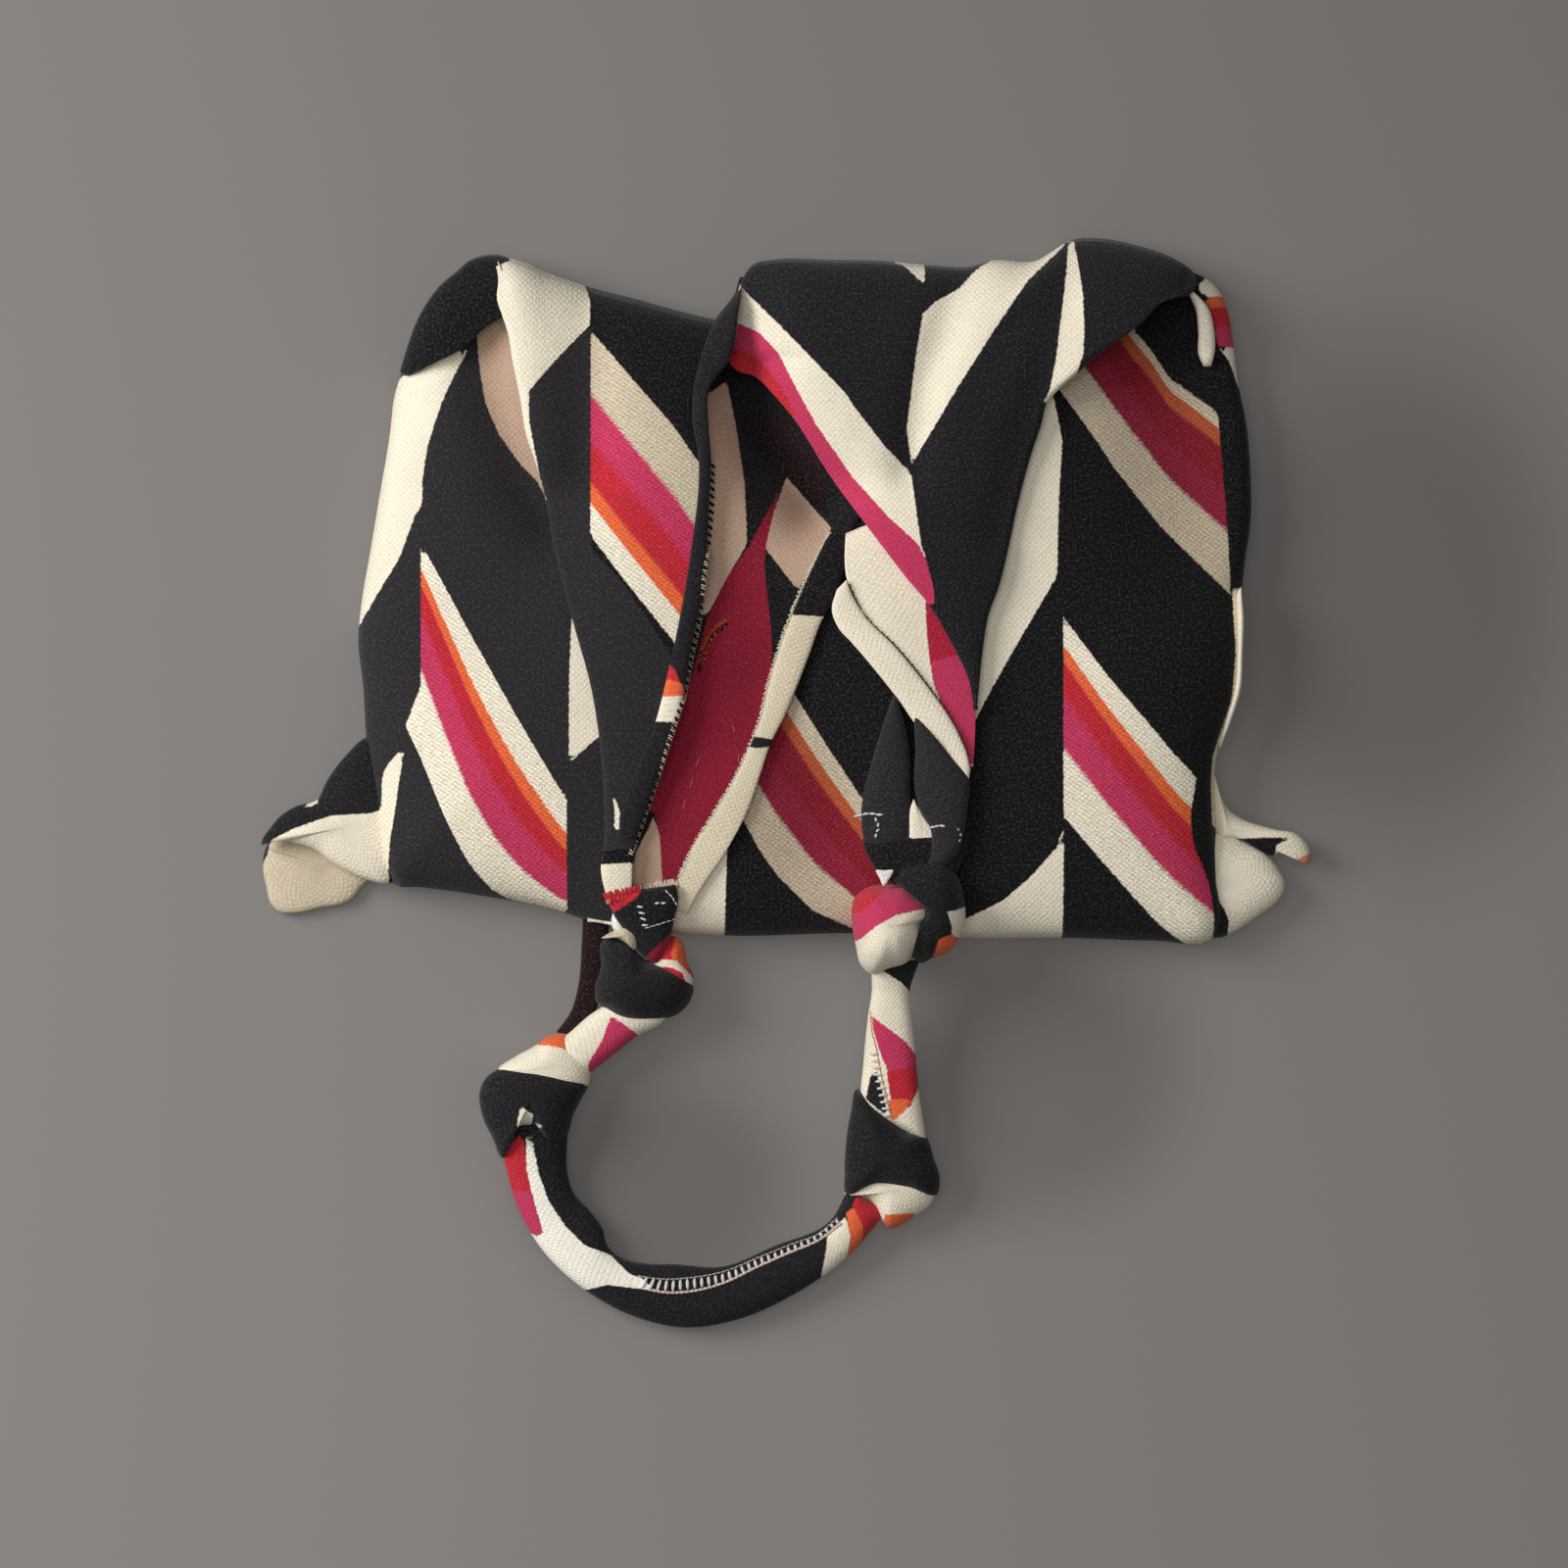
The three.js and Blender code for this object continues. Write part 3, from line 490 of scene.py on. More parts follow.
def lay_stripes(piece, tree, number, field, cloth):
    """Stores where a field of stripes lies on a piece, and returns its colours."""
    at, upper, lower = painted_at[piece.name], field["upper"], field["lower"]
    top = np.interp(at[:, 0], upper[:, 0], upper[:, 1])
    low = np.interp(at[:, 0], lower[:, 0], lower[:, 1])
    between = np.minimum(top - at[:, 1], at[:, 1] - low) * SLANT_SHARE
    store(piece, f"field_{number}", np.minimum(inside(at, field["bound"]), between))
    share = (top - at[:, 1]) / np.maximum(top - low, 1)
    if field["turned"]:
        share = 1 - share
    across = np.clip((at[:, 0] - upper[0, 0]) / (upper[-1, 0] - upper[0, 0]), 0, 1)
    store(piece, f"share_{number}", stripe_share(share, across, field["ends"]))
    return stripe_colours(tree, read(tree, f"share_{number}"), cloth, field["names"])


def dye(piece, ground, fields=(), back=False):
    """Gives a piece its woven finish: a ground colour, then its fields, then its back."""
    finish, tree, shader = new_finish(piece.name + " cloth", CLOTH_FINISH)
    cloth = add(tree, "ShaderNodeUVMap", uv_map="cloth")[0]
    colour = ground
    for number, field in enumerate(fields):
        if isinstance(field, dict):
            over = lay_stripes(piece, tree, number, field, cloth)
        else:
            over = field[0]
            store(piece, f"field_{number}", inside(painted_at[piece.name], field[1]))
        edge = {"Distance": read(tree, f"field_{number}"), "Cloth": cloth}
        mask = add(tree, "ShaderNodeGroup", edge, node_tree=woven_edge)["Mask"]
        colour = blend(tree, "MIX", colour, over, mask)
    if back:
        rear = add(tree, "ShaderNodeGroup", {"Cloth": cloth}, node_tree=herringbone)
        colour = blend(tree, "MIX", colour, rear["Colour"], rear["Mask"])
    yarn = add(tree, "ShaderNodeGroup", {"Cloth": cloth}, node_tree=weave)
    shaded = blend(tree, "MULTIPLY", colour, yarn["Shade"])
    join(tree, blend(tree, "ADD", shaded, yarn["Lint"]), shader["Base Color"])
    bump = add(tree, "ShaderNodeBump", {**WEAVE_BUMP, "Height": yarn["Height"]})[0]
    join(tree, bump, shader["Normal"])
    piece.data.materials.append(finish)
    dyed.append(piece)
    return piece


# %% [markdown]
# The pouch is a soft flat bag of cloth: its front bulges up a little and its back lies on the
# floor. It is lofted from its outline in rings, from the middle of the front out over the
# edge and back to the middle underneath. The height follows the distance from the edge, and
# low folds and a sunken mouth keep it from looking blown up.

# %% Height of the front
POUCH_OUTLINE = [
    (-156, 172), (-151, 185.5), (-145.5, 195.5), (-138.5, 203), (-128.5, 208), (-116.5, 207),
    (-106.5, 203), (-96, 197.5), (-78, 191), (-48, 183), (-26, 177), (-12, 186.5), (1.5, 197.5),
    (40, 202.5), (80, 204), (108, 208), (123.5, 211), (139.5, 210), (159.5, 209.5), (168.5, 209.5),
    (174.5, 206.5), (179, 201), (181.5, 194.5), (184, 179.5), (186, 164), (189, 149.5), (191, 127),
    (191, 107.5), (188.5, 90), (187.5, 79), (187.5, 64), (187, 43.5), (185.5, 33), (180, 21), (177, 11),
    (176, 0), (177, -20), (178, -40), (179, -58), (175.5, -63), (151.5, -64), (120, -63), (74, -63),
    (28, -61), (-22, -62), (-44, -61), (-76, -57), (-96, -51), (-128, -45), (-150, -42), (-160.5, -41),
    (-164, -34), (-168, -8), (-171.5, 16), (-173, 40), (-175, 60), (-174, 72), (-170, 96), (-166, 120),
    (-162, 144), (-160, 160),
]
RIM_HEIGHT = 13
POUCH_HEIGHT = 36
BACK_HEIGHT = 0.6
SHOULDER = 66
POUCH_ROUNDING = 2.6
FOOT_INSET = 9
POUCH_POINTS = 300
pouch_edge = smooth_path(POUCH_OUTLINE, POUCH_POINTS, closed=True)
# Each low fold is its height, the length of its waves to the right and up, and its start.
LOW_FOLDS = ((1.3, 31, 55, 0), (0.9, 19, -34, 1.2))
# Each hollow is a line along it, its depth and its reach to each side.
HOLLOWS = (
    ([(-23.5, 200), (-16.5, 160), (-0.5, 132), (12.5, 117)], 21, 15),
    ([(-123.5, 186), (-118, 160), (-108.5, 136), (-94, 108)], 9, 15),
    ([(151.5, 190), (167, 156), (173, 104)], 16, 38),
    ([(-0.5, 40), (15.5, 8), (15.5, -24)], 8, 26),
)
MOUTH_HOLLOW = HOLLOWS[:1]


def away_from(points, line):
    """The distance of each point from an open line."""
    path = smooth_path(line, LINE_POINTS)
    return np.sqrt(((points[:, None, :] - path[None]) ** 2).sum(2)).min(1)


def front_height(points, hollows=HOLLOWS):
    """The height of the front of the pouch over the floor, in millimetres."""
    points = np.array(points, float)
    x, y = points[:, 0], points[:, 1]
    rise = rounded(np.clip(inside(points, pouch_edge), 0, SHOULDER) / SHOULDER, POUCH_ROUNDING)
    level = POUCH_HEIGHT - RIM_HEIGHT
    for high, right, up, start in LOW_FOLDS:
        level = level + high * np.sin(x / right + y / up + start)
    for line, depth, reach in hollows:
        level = level - depth * np.exp(-((away_from(points, line) / reach) ** 2))
    return RIM_HEIGHT + level * rise


# %% Loft the pouch
POUCH_MIDDLE = np.array([6.0, 78.0])
# The rings, as shares of the way out over the front, round the edge and back underneath.
FRONT_SHARES = np.linspace(0.012, 1, 72)
EDGE_SHARES = np.linspace(0.15, 1, 9)
BACK_SHARES = np.concatenate([[0.9995], np.linspace(0.94, 0.02, 20)])
# The rings of the front draw together towards the edge, by this power of their share.
RING_POWER = 0.85
# The edge bulges out a little, and its cloth is painted as a strip this wide.
EDGE_BULGE, EDGE_PAINT = 1.2, 14
rings, plans = [], []
for share in FRONT_SHARES:
    ring = POUCH_MIDDLE + (pouch_edge - POUCH_MIDDLE) * share**RING_POWER
    rings.append(np.column_stack([ring, front_height(ring)]))
    plans.append(ring)
ahead = np.roll(pouch_edge, -1, axis=0) - np.roll(pouch_edge, 1, axis=0)
outward = np.column_stack([-ahead[:, 1], ahead[:, 0]]) / np.linalg.norm(ahead, axis=1)[:, None]
if inside(pouch_edge + outward, pouch_edge).mean() > 0:
    outward = -outward
for share in EDGE_SHARES:
    bend = share * math.pi / 2
    inset = FOOT_INSET * (1 - math.cos(bend)) - EDGE_BULGE * math.sin(2 * bend)
    level = RIM_HEIGHT - (RIM_HEIGHT - BACK_HEIGHT) * math.sin(bend)
    rings.append(np.column_stack([pouch_edge - outward * inset, np.full(POUCH_POINTS, level)]))
    plans.append(pouch_edge + outward * EDGE_PAINT * share)
foot = pouch_edge - outward * FOOT_INSET
for share in BACK_SHARES:
    ring = POUCH_MIDDLE + (foot - POUCH_MIDDLE) * share
    rings.append(np.column_stack([ring, np.full(POUCH_POINTS, BACK_HEIGHT)]))
    plans.append(ring - [BACK_AWAY, 0])
pouch = turn_outwards(grid_mesh("pouch", rings, plans, ring=True, caps=True))
print("pouch:", len(pouch.data.polygons), "faces")

# %% [markdown]
# The front shows the herringbone of the cloth: columns of slanted stripes between columns of
# slanted cream fields on a black ground. Each field is drawn where it lies on the front.

# %% Fields of the front
# The stripes' ends as shares of their band, at its left and at its right.
LEFT_STRIPES = ((0.13, 0.18, 0.32, 0.58), (0.32, 0.44, 0.64, 0.90))
MIDDLE_STRIPES = ((0.13, 0.21, 0.42, 0.67), (0.19, 0.31, 0.60, 0.80))
LOWER_STRIPES = ((0.145, 0.215, 0.39, 0.66), (0.225, 0.33, 0.51, 0.70))
UPPER_STRIPES = ((0.05, 0.16, 0.42, 0.625), (0.09, 0.18, 0.42, 0.65))
LEFT_BAND = (
    [(-148.5, 98), (-140.5, 84), (-128.5, 61.5), (-108.5, 26), (-89.5, -6)],
    [
        (-154.5, 23), (-148.5, 10.5), (-138.5, -14), (-128.5, -33.5), (-119, -44), (-108, -49.5),
        (-89, -53.5),
    ],
)
LEFT_BOUND = [
    (-148.5, 104), (-89, 0), (-89, -58), (-128.5, -48), (-148.5, 0), (-155.5, 22), (-148.5, 40),
]
MIDDLE_BAND = (
    [(-22.5, 76), (-10.5, 58), (3, 38), (17.5, 15), (30.5, -4.5), (45.5, -27)],
    [(-22.5, -5), (-17.5, -14), (-10.5, -27), (-3, -37.5), (11.5, -52), (27, -59), (45.5, -70)],
)
LOWER_RIGHT_BAND = (
    [(113.5, 68), (131.5, 44), (151.5, 21), (158, 13), (165, 6), (176.5, -6)],
    [(113.5, -13), (127.5, -29.5), (139.5, -43), (151.5, -56), (160, -63), (176.5, -74)],
)
LOWER_RIGHT_BOUND = [
    (113.5, 80), (151.5, 28), (168, 4), (168, 0), (166.5, -7), (165.5, -13), (167, -25.5), (171.5, -35),
    (174, -43), (175.5, -53), (175.5, -76), (113.5, -76),
]
UPPER_RIGHT_BAND = (
    [
        (110, 230), (123.5, 210), (138.5, 192), (143, 185.5), (150, 177.5), (157.5, 166), (165, 161),
        (176, 153), (184.5, 147),
    ],
    [
        (110, 163.5), (112.5, 160), (127.5, 139.5), (134.5, 129), (153.5, 105.5), (173, 86.5),
        (183, 77), (184.5, 76),
    ],
)
UPPER_RIGHT_BOUND = [
    (103.5, 200), (139.5, 196), (175.5, 158), (177.5, 150.5), (178.5, 137), (181, 107.5), (183, 72),
    (103.5, 152),
]
FRONT_FIELDS = [
    # The left of the front is charcoal: painted light, where the black faces the light.
    ("charcoal", [(-200.5, 230), (-70.5, 230), (-70.5, 0), (-65, -20), (-65, -80), (-200.5, -80)]),
    ("cream", [
        (-129, 178.5), (-135, 167), (-140, 156), (-146, 137.5), (-148, 124), (-148, 114), (-151, 109.5),
        (-157.5, 92), (-174, 65.5), (-188.5, 60), (-188.5, 144), (-168.5, 163), (-155.5, 167.5),
    ]),
    # Beside the left ear the cream is blush, as painted shade in the valley.
    ("blush", [
        (-116, 193), (-126, 184.5), (-125, 171), (-122.5, 156), (-117, 143), (-108.5, 131),
        (-101.5, 124), (-96.5, 115), (-80.5, 112), (-80.5, 193),
    ]),
    ("cream", [
        (-78, 81.5), (-82, 75.5), (-87, 67), (-88, 40), (-88, 8.5), (-76.5, 19), (-64.5, 26),
        (-64.5, 88),
    ]),
    ("cream", [(-23.5, 0), (-23.5, -25), (-25, -68), (-64.5, -68), (-64.5, 0)]),
    ("cream", [
        (109, 160), (113, 140), (111.5, 112), (111, 85), (101, 68), (92.5, 53.5), (83.5, 37.5),
        (75, 21), (63.5, 21), (63.5, 160),
    ]),
    ("cream", [
        (113.5, -17.5), (110.5, -26), (100.5, -37.5), (89, -47.5), (74, -55), (63.5, -60), (55.5, -76),
        (113.5, -76),
    ]),
    ("cream", [
        (183, 80), (184.5, 54), (183, 35), (178, 20), (175, 10.5), (174.5, 0), (175, -18.5),
        (184.5, -18.5), (211.5, 16), (211.5, 81),
    ]),
    ("cream", [
        (-155, 15.5), (-161, 9.5), (-164, 5), (-165, 0), (-165, -10.5), (-184.5, -10.5), (-184.5, -46),
        (-162.5, -46), (-162.5, -34), (-161.5, -23), (-159, -9), (-158, -1.5),
    ]),
    stripes(*LEFT_BAND, LEFT_STRIPES, LEFT_BOUND),
    # The middle band and the upper right band lie beside folds, so their stripes take darker colours, as
    # painted shade.
    stripes(*MIDDLE_BAND, MIDDLE_STRIPES, names=SHADED_STRIPES),
    stripes(*LOWER_RIGHT_BAND, LOWER_STRIPES, LOWER_RIGHT_BOUND),
    stripes(*UPPER_RIGHT_BAND, UPPER_STRIPES, UPPER_RIGHT_BOUND, SHADED_STRIPES),
    ("cream", [(169, 204), (175, 210), (182, 203), (179.5, 199), (171.5, 199)]),
    ("orange", [(171.5, 199), (182, 200.5), (184.5, 194), (174, 194.5)]),
    ("red", [(173.5, 195), (185, 196), (187, 186.5), (176, 187)]),
    ("magenta", [(175.5, 187), (187.5, 188), (188.5, 179), (177.5, 179)]),
    ("cream", [(177.5, 179), (189, 179), (195.5, 163), (186, 163), (182, 173.5)]),
]
# The ground is the deep black: painted shade on the black of the front away from the light.
dye(pouch, "deep", FRONT_FIELDS, back=True)
print("front fields:", len(FRONT_FIELDS))

# %% [markdown]
# Each ear is the back cloth brought over the top edge and folded forward. It starts under the
# bag, rolls round the top, lies on the front and narrows to a tip. Its free sides are folds or
# hems, so they curl under. The sheet is built in rows between its two sides.

# %% Sheets that roll over the top edge
CLOTH = 1.6
# How far an ear is rolled under the top edge, and how low it lies there.
ROLL_UNDER, ROLL_LOW = 11, 1.7
UNDER_PLACES = [ROLL_UNDER + 20, ROLL_UNDER + 8]
ROLL_ANGLES = np.radians(np.linspace(-90, -6, 10))
# A rolled sheet has some more rows than its plan, drawn together towards the top edge.
MORE_ROWS, ROW_POWER, FIRST_ROWS = 20, 1.5, 6


def roll_column(plan, height):
    """One column of an ear, with its way round the top edge from underneath."""
    far = lengths(plan)
    spots = list(UNDER_PLACES)
    heights = [ROLL_LOW] * len(spots)
    for angle in ROLL_ANGLES:
        spots.append(ROLL_UNDER * (1 - math.cos(angle)))
        heights.append(height[0] + (height[0] - ROLL_LOW) * math.sin(angle))
    forward = far[-1] * np.linspace(0, 1, len(far) + MORE_ROWS) ** ROW_POWER
    painted = np.concatenate([-np.array(spots), forward])
    line = points_at(plan, far, np.concatenate([spots, forward]))
    heights = np.concatenate([heights, np.interp(forward, far, height)])
    slope = (plan[FIRST_ROWS] - plan[0]) / max(far[FIRST_ROWS], 1e-6)
    seen = points_at(plan, far, np.maximum(painted, 0))
    seen = seen + np.minimum(painted, 0)[:, None] * slope[None]
    return np.column_stack([line, heights]), seen


def cloth_sheet(name, grid, plan=None):
    """A sheet as thick as the cloth, with its right side up."""
    sheet = grid_mesh(name, grid, plan)
    if sheet.data.polygons[len(sheet.data.polygons) // 2].normal.z < 0:
        sheet.data.flip_normals()
    wall = sheet.modifiers.new("cloth", "SOLIDIFY")
    wall.thickness = CLOTH * MM
    wall.offset = -1
    return sheet


def rolled_sheet(name, plan, height):
    """A sheet of cloth whose first row is the silhouette it rolls over."""
    columns = [roll_column(plan[:, c], height[:, c]) for c in range(plan.shape[1])]
    grid, painted = [np.stack(column, axis=1) for column in zip(*columns)]
    return cloth_sheet(name, grid, painted)


# %% Ears
# The height of an ear's rolled top edge, how far in it is at its full height, and its bend.
EAR_EDGE, EAR_SHOULDER, EAR_ROUNDING = 15, 44, 2.3
# A curl is at most this share of the ear's width, and it starts small at the top.
CURL_SHARE, CURL_START = 0.28, 0.1
CURL_ANGLES = np.radians(np.linspace(20, 180, 9))
# How far a curled side turns back under, and how soon the line of the top edge fades out.
CURL_BACK, TOP_FADE = 6, 4
# An ear swells this much in its middle, and less where it is narrower than this.
PUFF, PUFF_WIDTH = 2.0, 60
right_side_height = {}


def ear_heights(line, swell):
    """Heights along one column of an ear, rounded up from its rolled top edge."""
    far = lengths(line)
    ahead = points_at(line, far, np.maximum(far, min(EAR_SHOULDER, far[-1])))
    full = front_height(ahead, MOUTH_HOLLOW) + swell
    return EAR_EDGE + (full - EAR_EDGE) * rounded(np.minimum(far / EAR_SHOULDER, 1), EAR_ROUNDING)


def curl_columns(plan, height, side, trim):
    """Extra columns that turn each free side of a sheet under itself."""
    curls = []
    for edge, sign, bend in ((0, -1, trim[0]), (-1, 1, trim[1])):
        spots, heights = [], []
        for angle in CURL_ANGLES:
            spots.append(plan[:, edge] + sign * side * bend * math.sin(angle))
            heights.append(height[:, edge] - bend[:, 0] * (1 - math.cos(angle)))
        spots.append(plan[:, edge] - sign * side * np.minimum(CURL_BACK, bend * 2))
        heights.append(height[:, edge] - bend[:, 0] * 2)
        curls.append([np.stack(columns[::sign], axis=1) for columns in (spots, heights)])
    return curls


def ear_sheet(
    name, left_side, right_side, top_side, lift, curls, creases, fade_in=0.12, rows=92, cols=54
):
    """One ear: a sheet that rolls over the top edge and lies forward on the front."""
    left, right = smooth_path(left_side, rows), smooth_path(right_side, rows)
    top = smooth_path(top_side, cols)
    across = np.linspace(0, 1, cols)
    width = np.linalg.norm(right - left, axis=1)[:, None]
    begin = np.clip(np.linspace(0, 1, rows)[:, None] / fade_in, CURL_START, 1)
    trim = [np.minimum(curl, width * CURL_SHARE) * begin for curl in curls]
    share = ((trim[0] + (width - trim[0] - trim[1]) * across[None]) / width)[:, :, None]
    plan = left[:, None] * (1 - share) + right[:, None] * share
    plan = plan + (top[None] - plan[:1]) * (np.linspace(1, 0, rows) ** TOP_FADE)[:, None, None]
    puff = PUFF * np.sin(math.pi * across)[None] * np.minimum(width / PUFF_WIDTH, 1)
    swell = spread(lift, rows)[:, None] + puff
    height = np.stack([ear_heights(plan[:, c], swell[:, c]) for c in range(cols)], axis=1)
    for line, depth, reach in creases:
        away = away_from(plan.reshape(-1, 2), line).reshape(height.shape)
        height = height - depth * np.exp(-((away / reach) ** 2))
    right_side_height[name] = height[:, -1]
    left_curl, right_curl = curl_columns(plan, height, (right - left) / width, trim)
    plan = np.concatenate([left_curl[0], plan, right_curl[0]], axis=1)
    height = np.concatenate([left_curl[1], height, right_curl[1]], axis=1)
    return rolled_sheet(name, plan, height)


# %% The left ear
LEFT_FOLD = [
    (-118.5, 214.5), (-116.5, 205.5), (-117, 197), (-115, 191), (-112.5, 183), (-110.5, 171),
    (-107.5, 156), (-105, 141), (-101.5, 131), (-97.5, 116.5), (-94, 96.5), (-90, 80), (-84, 58),
    (-80, 44), (-76, 22), (-74, 0), (-73.5, -20), (-75, -36), (-72, -49),
]
LEFT_TOP = [
    (-118.5, 214.5), (-114, 215.5), (-107.5, 214), (-97, 209.5), (-82, 204.5), (-61.5, 199),
    (-43.5, 194), (-25, 189.5),
]
LEFT_HEM = [
    (-25, 189.5), (-28.5, 172.5), (-33.5, 161.5), (-34.5, 147.5), (-33, 132), (-33, 123), (-35, 96.5),
    (-39.5, 64), (-43, 44), (-53, 8), (-61, -20), (-62, -34), (-62.5, -48),
]
LEFT_CREASES = [
    ([(-79, 200), (-78, 168), (-79, 128)], 3.6, 11),
    ([(-109.5, 206), (-104.5, 172), (-99, 132)], -3.4, 11),
]
left_ear = ear_sheet("left_ear", LEFT_FOLD, LEFT_HEM, LEFT_TOP, 9, (3.2, 1.0), LEFT_CREASES)
# The left ear's stripes end at the top in tan, cream in painted shade.
EAR_STRIPE_ENDS = ((0.16, 0.255, 0.465, 0.69), (0.16, 0.255, 0.465, 0.67))
# The ear's ground is the deep black, painted shade; its charcoal field is painted light on the side that
# faces the light.
LEFT_EAR_FIELDS = [
    ("charcoal", [
        (-112.5, 164), (-104, 159.5), (-79.5, 187), (-79, 144), (-79, 96), (-64.5, 80), (-40.5, 44),
        (-40.5, -24), (-80.5, -28), (-104.5, 96),
    ]),
    ("cream", [
        (-114.5, 161.5), (-104, 159.5), (-104, 148), (-101.5, 134.5), (-99.5, 124), (-97, 115),
        (-108.5, 115), (-116.5, 144),
    ]),
    ("cream", [
        (-128.5, 232), (-80.5, 232), (-82, 204.5), (-79.5, 197), (-79.5, 187), (-93, 172.5),
        (-104, 159.5), (-107, 155), (-120.5, 155), (-124.5, 188),
    ]),
    stripes(
        [(-79, 184.5), (-59, 161), (-45, 145), (-37.5, 134), (-22.5, 114)],
        [(-79, 101), (-64.5, 82), (-44.5, 57), (-22.5, 30)],
        EAR_STRIPE_ENDS, names=EAR_STRIPES, turned=True,
    ),
    ("cream", [(-70, -5.5), (-69, -5.5), (-67, -12), (-67.5, -18.5), (-69.5, -18.5), (-69, -12)]),
    ("cream", [(-80.5, -33), (-60.5, -32), (-60.5, -52), (-80.5, -52)]),
]
dye(left_ear, "deep", LEFT_EAR_FIELDS)
print("left ear:", len(left_ear.data.polygons), "faces")

# %% The right ear
RIGHT_TOP = [
    (-17.5, 206.5), (-16.5, 209), (-12.5, 213.5), (-5.5, 215), (19.5, 215), (41, 214.5), (57, 213),
    (79, 213), (84, 214.5), (104, 215), (111, 219.5), (117, 223), (127.5, 224), (135.5, 223),
    (144, 221), (158.5, 216), (165.5, 212), (171, 207.5),
]
RIGHT_HEM = [
    (-17.5, 206.5), (-19.5, 200), (-21, 188), (-22, 171), (-19, 168.5), (-13.5, 167), (-4.5, 158.5),
    (4.5, 147.5), (16.5, 128.5), (27, 113.5), (35.5, 102), (50, 83), (58, 73.5), (67.5, 57.5),
    (74.5, 43), (77, 30),
]
RIGHT_FOLD = [
    (171, 207.5), (167, 202.5), (161.5, 199), (153.5, 196), (144, 186.5), (134.5, 179.5), (125, 173),
    (119, 167), (111.5, 160.5), (106.5, 155), (104.5, 147), (101, 136.5), (95, 114.5), (91, 96),
    (87, 80), (83, 69), (80.5, 54), (79, 40.5), (78, 30),
]
RIGHT_CREASES = [
    ([(73.5, 206), (64.5, 184), (55.5, 156), (51, 128)], 4.5, 9),
    ([(116.5, 215), (111, 184), (99.5, 144), (87.5, 104)], 2.5, 9),
    ([(173, 208.5), (171, 207), (169, 203.5)], 11, 4.5),
]
right_ear = ear_sheet(
    "right_ear", RIGHT_HEM, RIGHT_FOLD, RIGHT_TOP, (12, 12, 9, 7, 6), (1.6, 3.0), RIGHT_CREASES,
    fade_in=0.3, rows=110, cols=72,
)
RIGHT_BOUND = [
    (-26.5, 212), (50, 132), (51.5, 124.5), (53.5, 109.5), (55.5, 96), (57, 93), (61.5, 72), (31.5, 72),
    (-26.5, 148),
]
RIGHT_EAR_FIELDS = [
    ("cream", RIGHT_BOUND),
    ("magenta", [
        (-26.5, 189.5), (-19, 188), (-10.5, 184), (-2.5, 175), (4.5, 161), (12.5, 146.5), (27, 125.5),
        (41, 109.5), (54, 97.5), (57, 92), (63.5, 75), (63.5, 68), (-40.5, 64), (-40.5, 188),
    ]),
    ("red", [
        (-26.5, 179), (-18, 177.5), (-10.5, 173), (-2.5, 163), (4.5, 150), (-8.5, 148), (-26.5, 160),
    ]),
    ("black", [
        (56, 102), (57, 92), (60.5, 79), (60.5, 73), (54, 73), (54, 44), (83.5, 44), (79.5, 64),
        (63.5, 104),
    ]),
    ("black", [
        (-26.5, 206.5), (-17.5, 205), (-9.5, 201.5), (0.5, 194), (9, 183), (18.5, 168.5), (28.5, 152.5),
        (41, 136.5), (50, 127.5), (52, 124.5), (55.5, 128), (55.5, 220), (-26.5, 220),
    ]),
    ("cream", [
        (56, 191), (61, 196), (71, 202), (77, 209), (84, 214.5), (85, 230), (109.5, 234), (115, 221),
        (99, 205), (84, 183), (71, 162.5), (59, 142.5), (51.5, 130), (49.5, 144.5), (51, 156.5),
        (53, 172.5),
    ]),
    ("cream", [(42, 224), (45, 213.5), (49, 211.5), (54, 206), (57, 203.5), (57, 224)]),
    ("cream", [
        (117, 230), (119, 214), (121, 199), (121.5, 184), (121, 174.5), (118, 165), (111.5, 159),
        (106.5, 154.5), (105, 155), (107.5, 160), (110, 172), (112, 188), (114.5, 208), (116, 224),
    ]),
]
dye(right_ear, "black", RIGHT_EAR_FIELDS)
print("right ear:", len(right_ear.data.polygons), "faces")

# %% [markdown]
# Between the ears the wrong side of the cloth shows: the front layers of both ears, seen from
# inside, in crimson and pale pink. They are plain sheets that lie just over the front; in the
# open mouth the left one is dark, as painted shade.

# %% Insides of the ears
def flat_sheet(name, left_side, right_side, lift, rows=80, cols=36):
    """A sheet between two sides that lies a little over the front."""
    left, right = smooth_path(left_side, rows), smooth_path(right_side, rows)
    share = np.linspace(0, 1, cols)[None, :, None]
    plan = left[:, None] * (1 - share) + right[:, None] * share
    height = front_height(plan.reshape(-1, 2)).reshape(rows, cols, 1) + lift
    return cloth_sheet(name, np.concatenate([plan, height], axis=2))


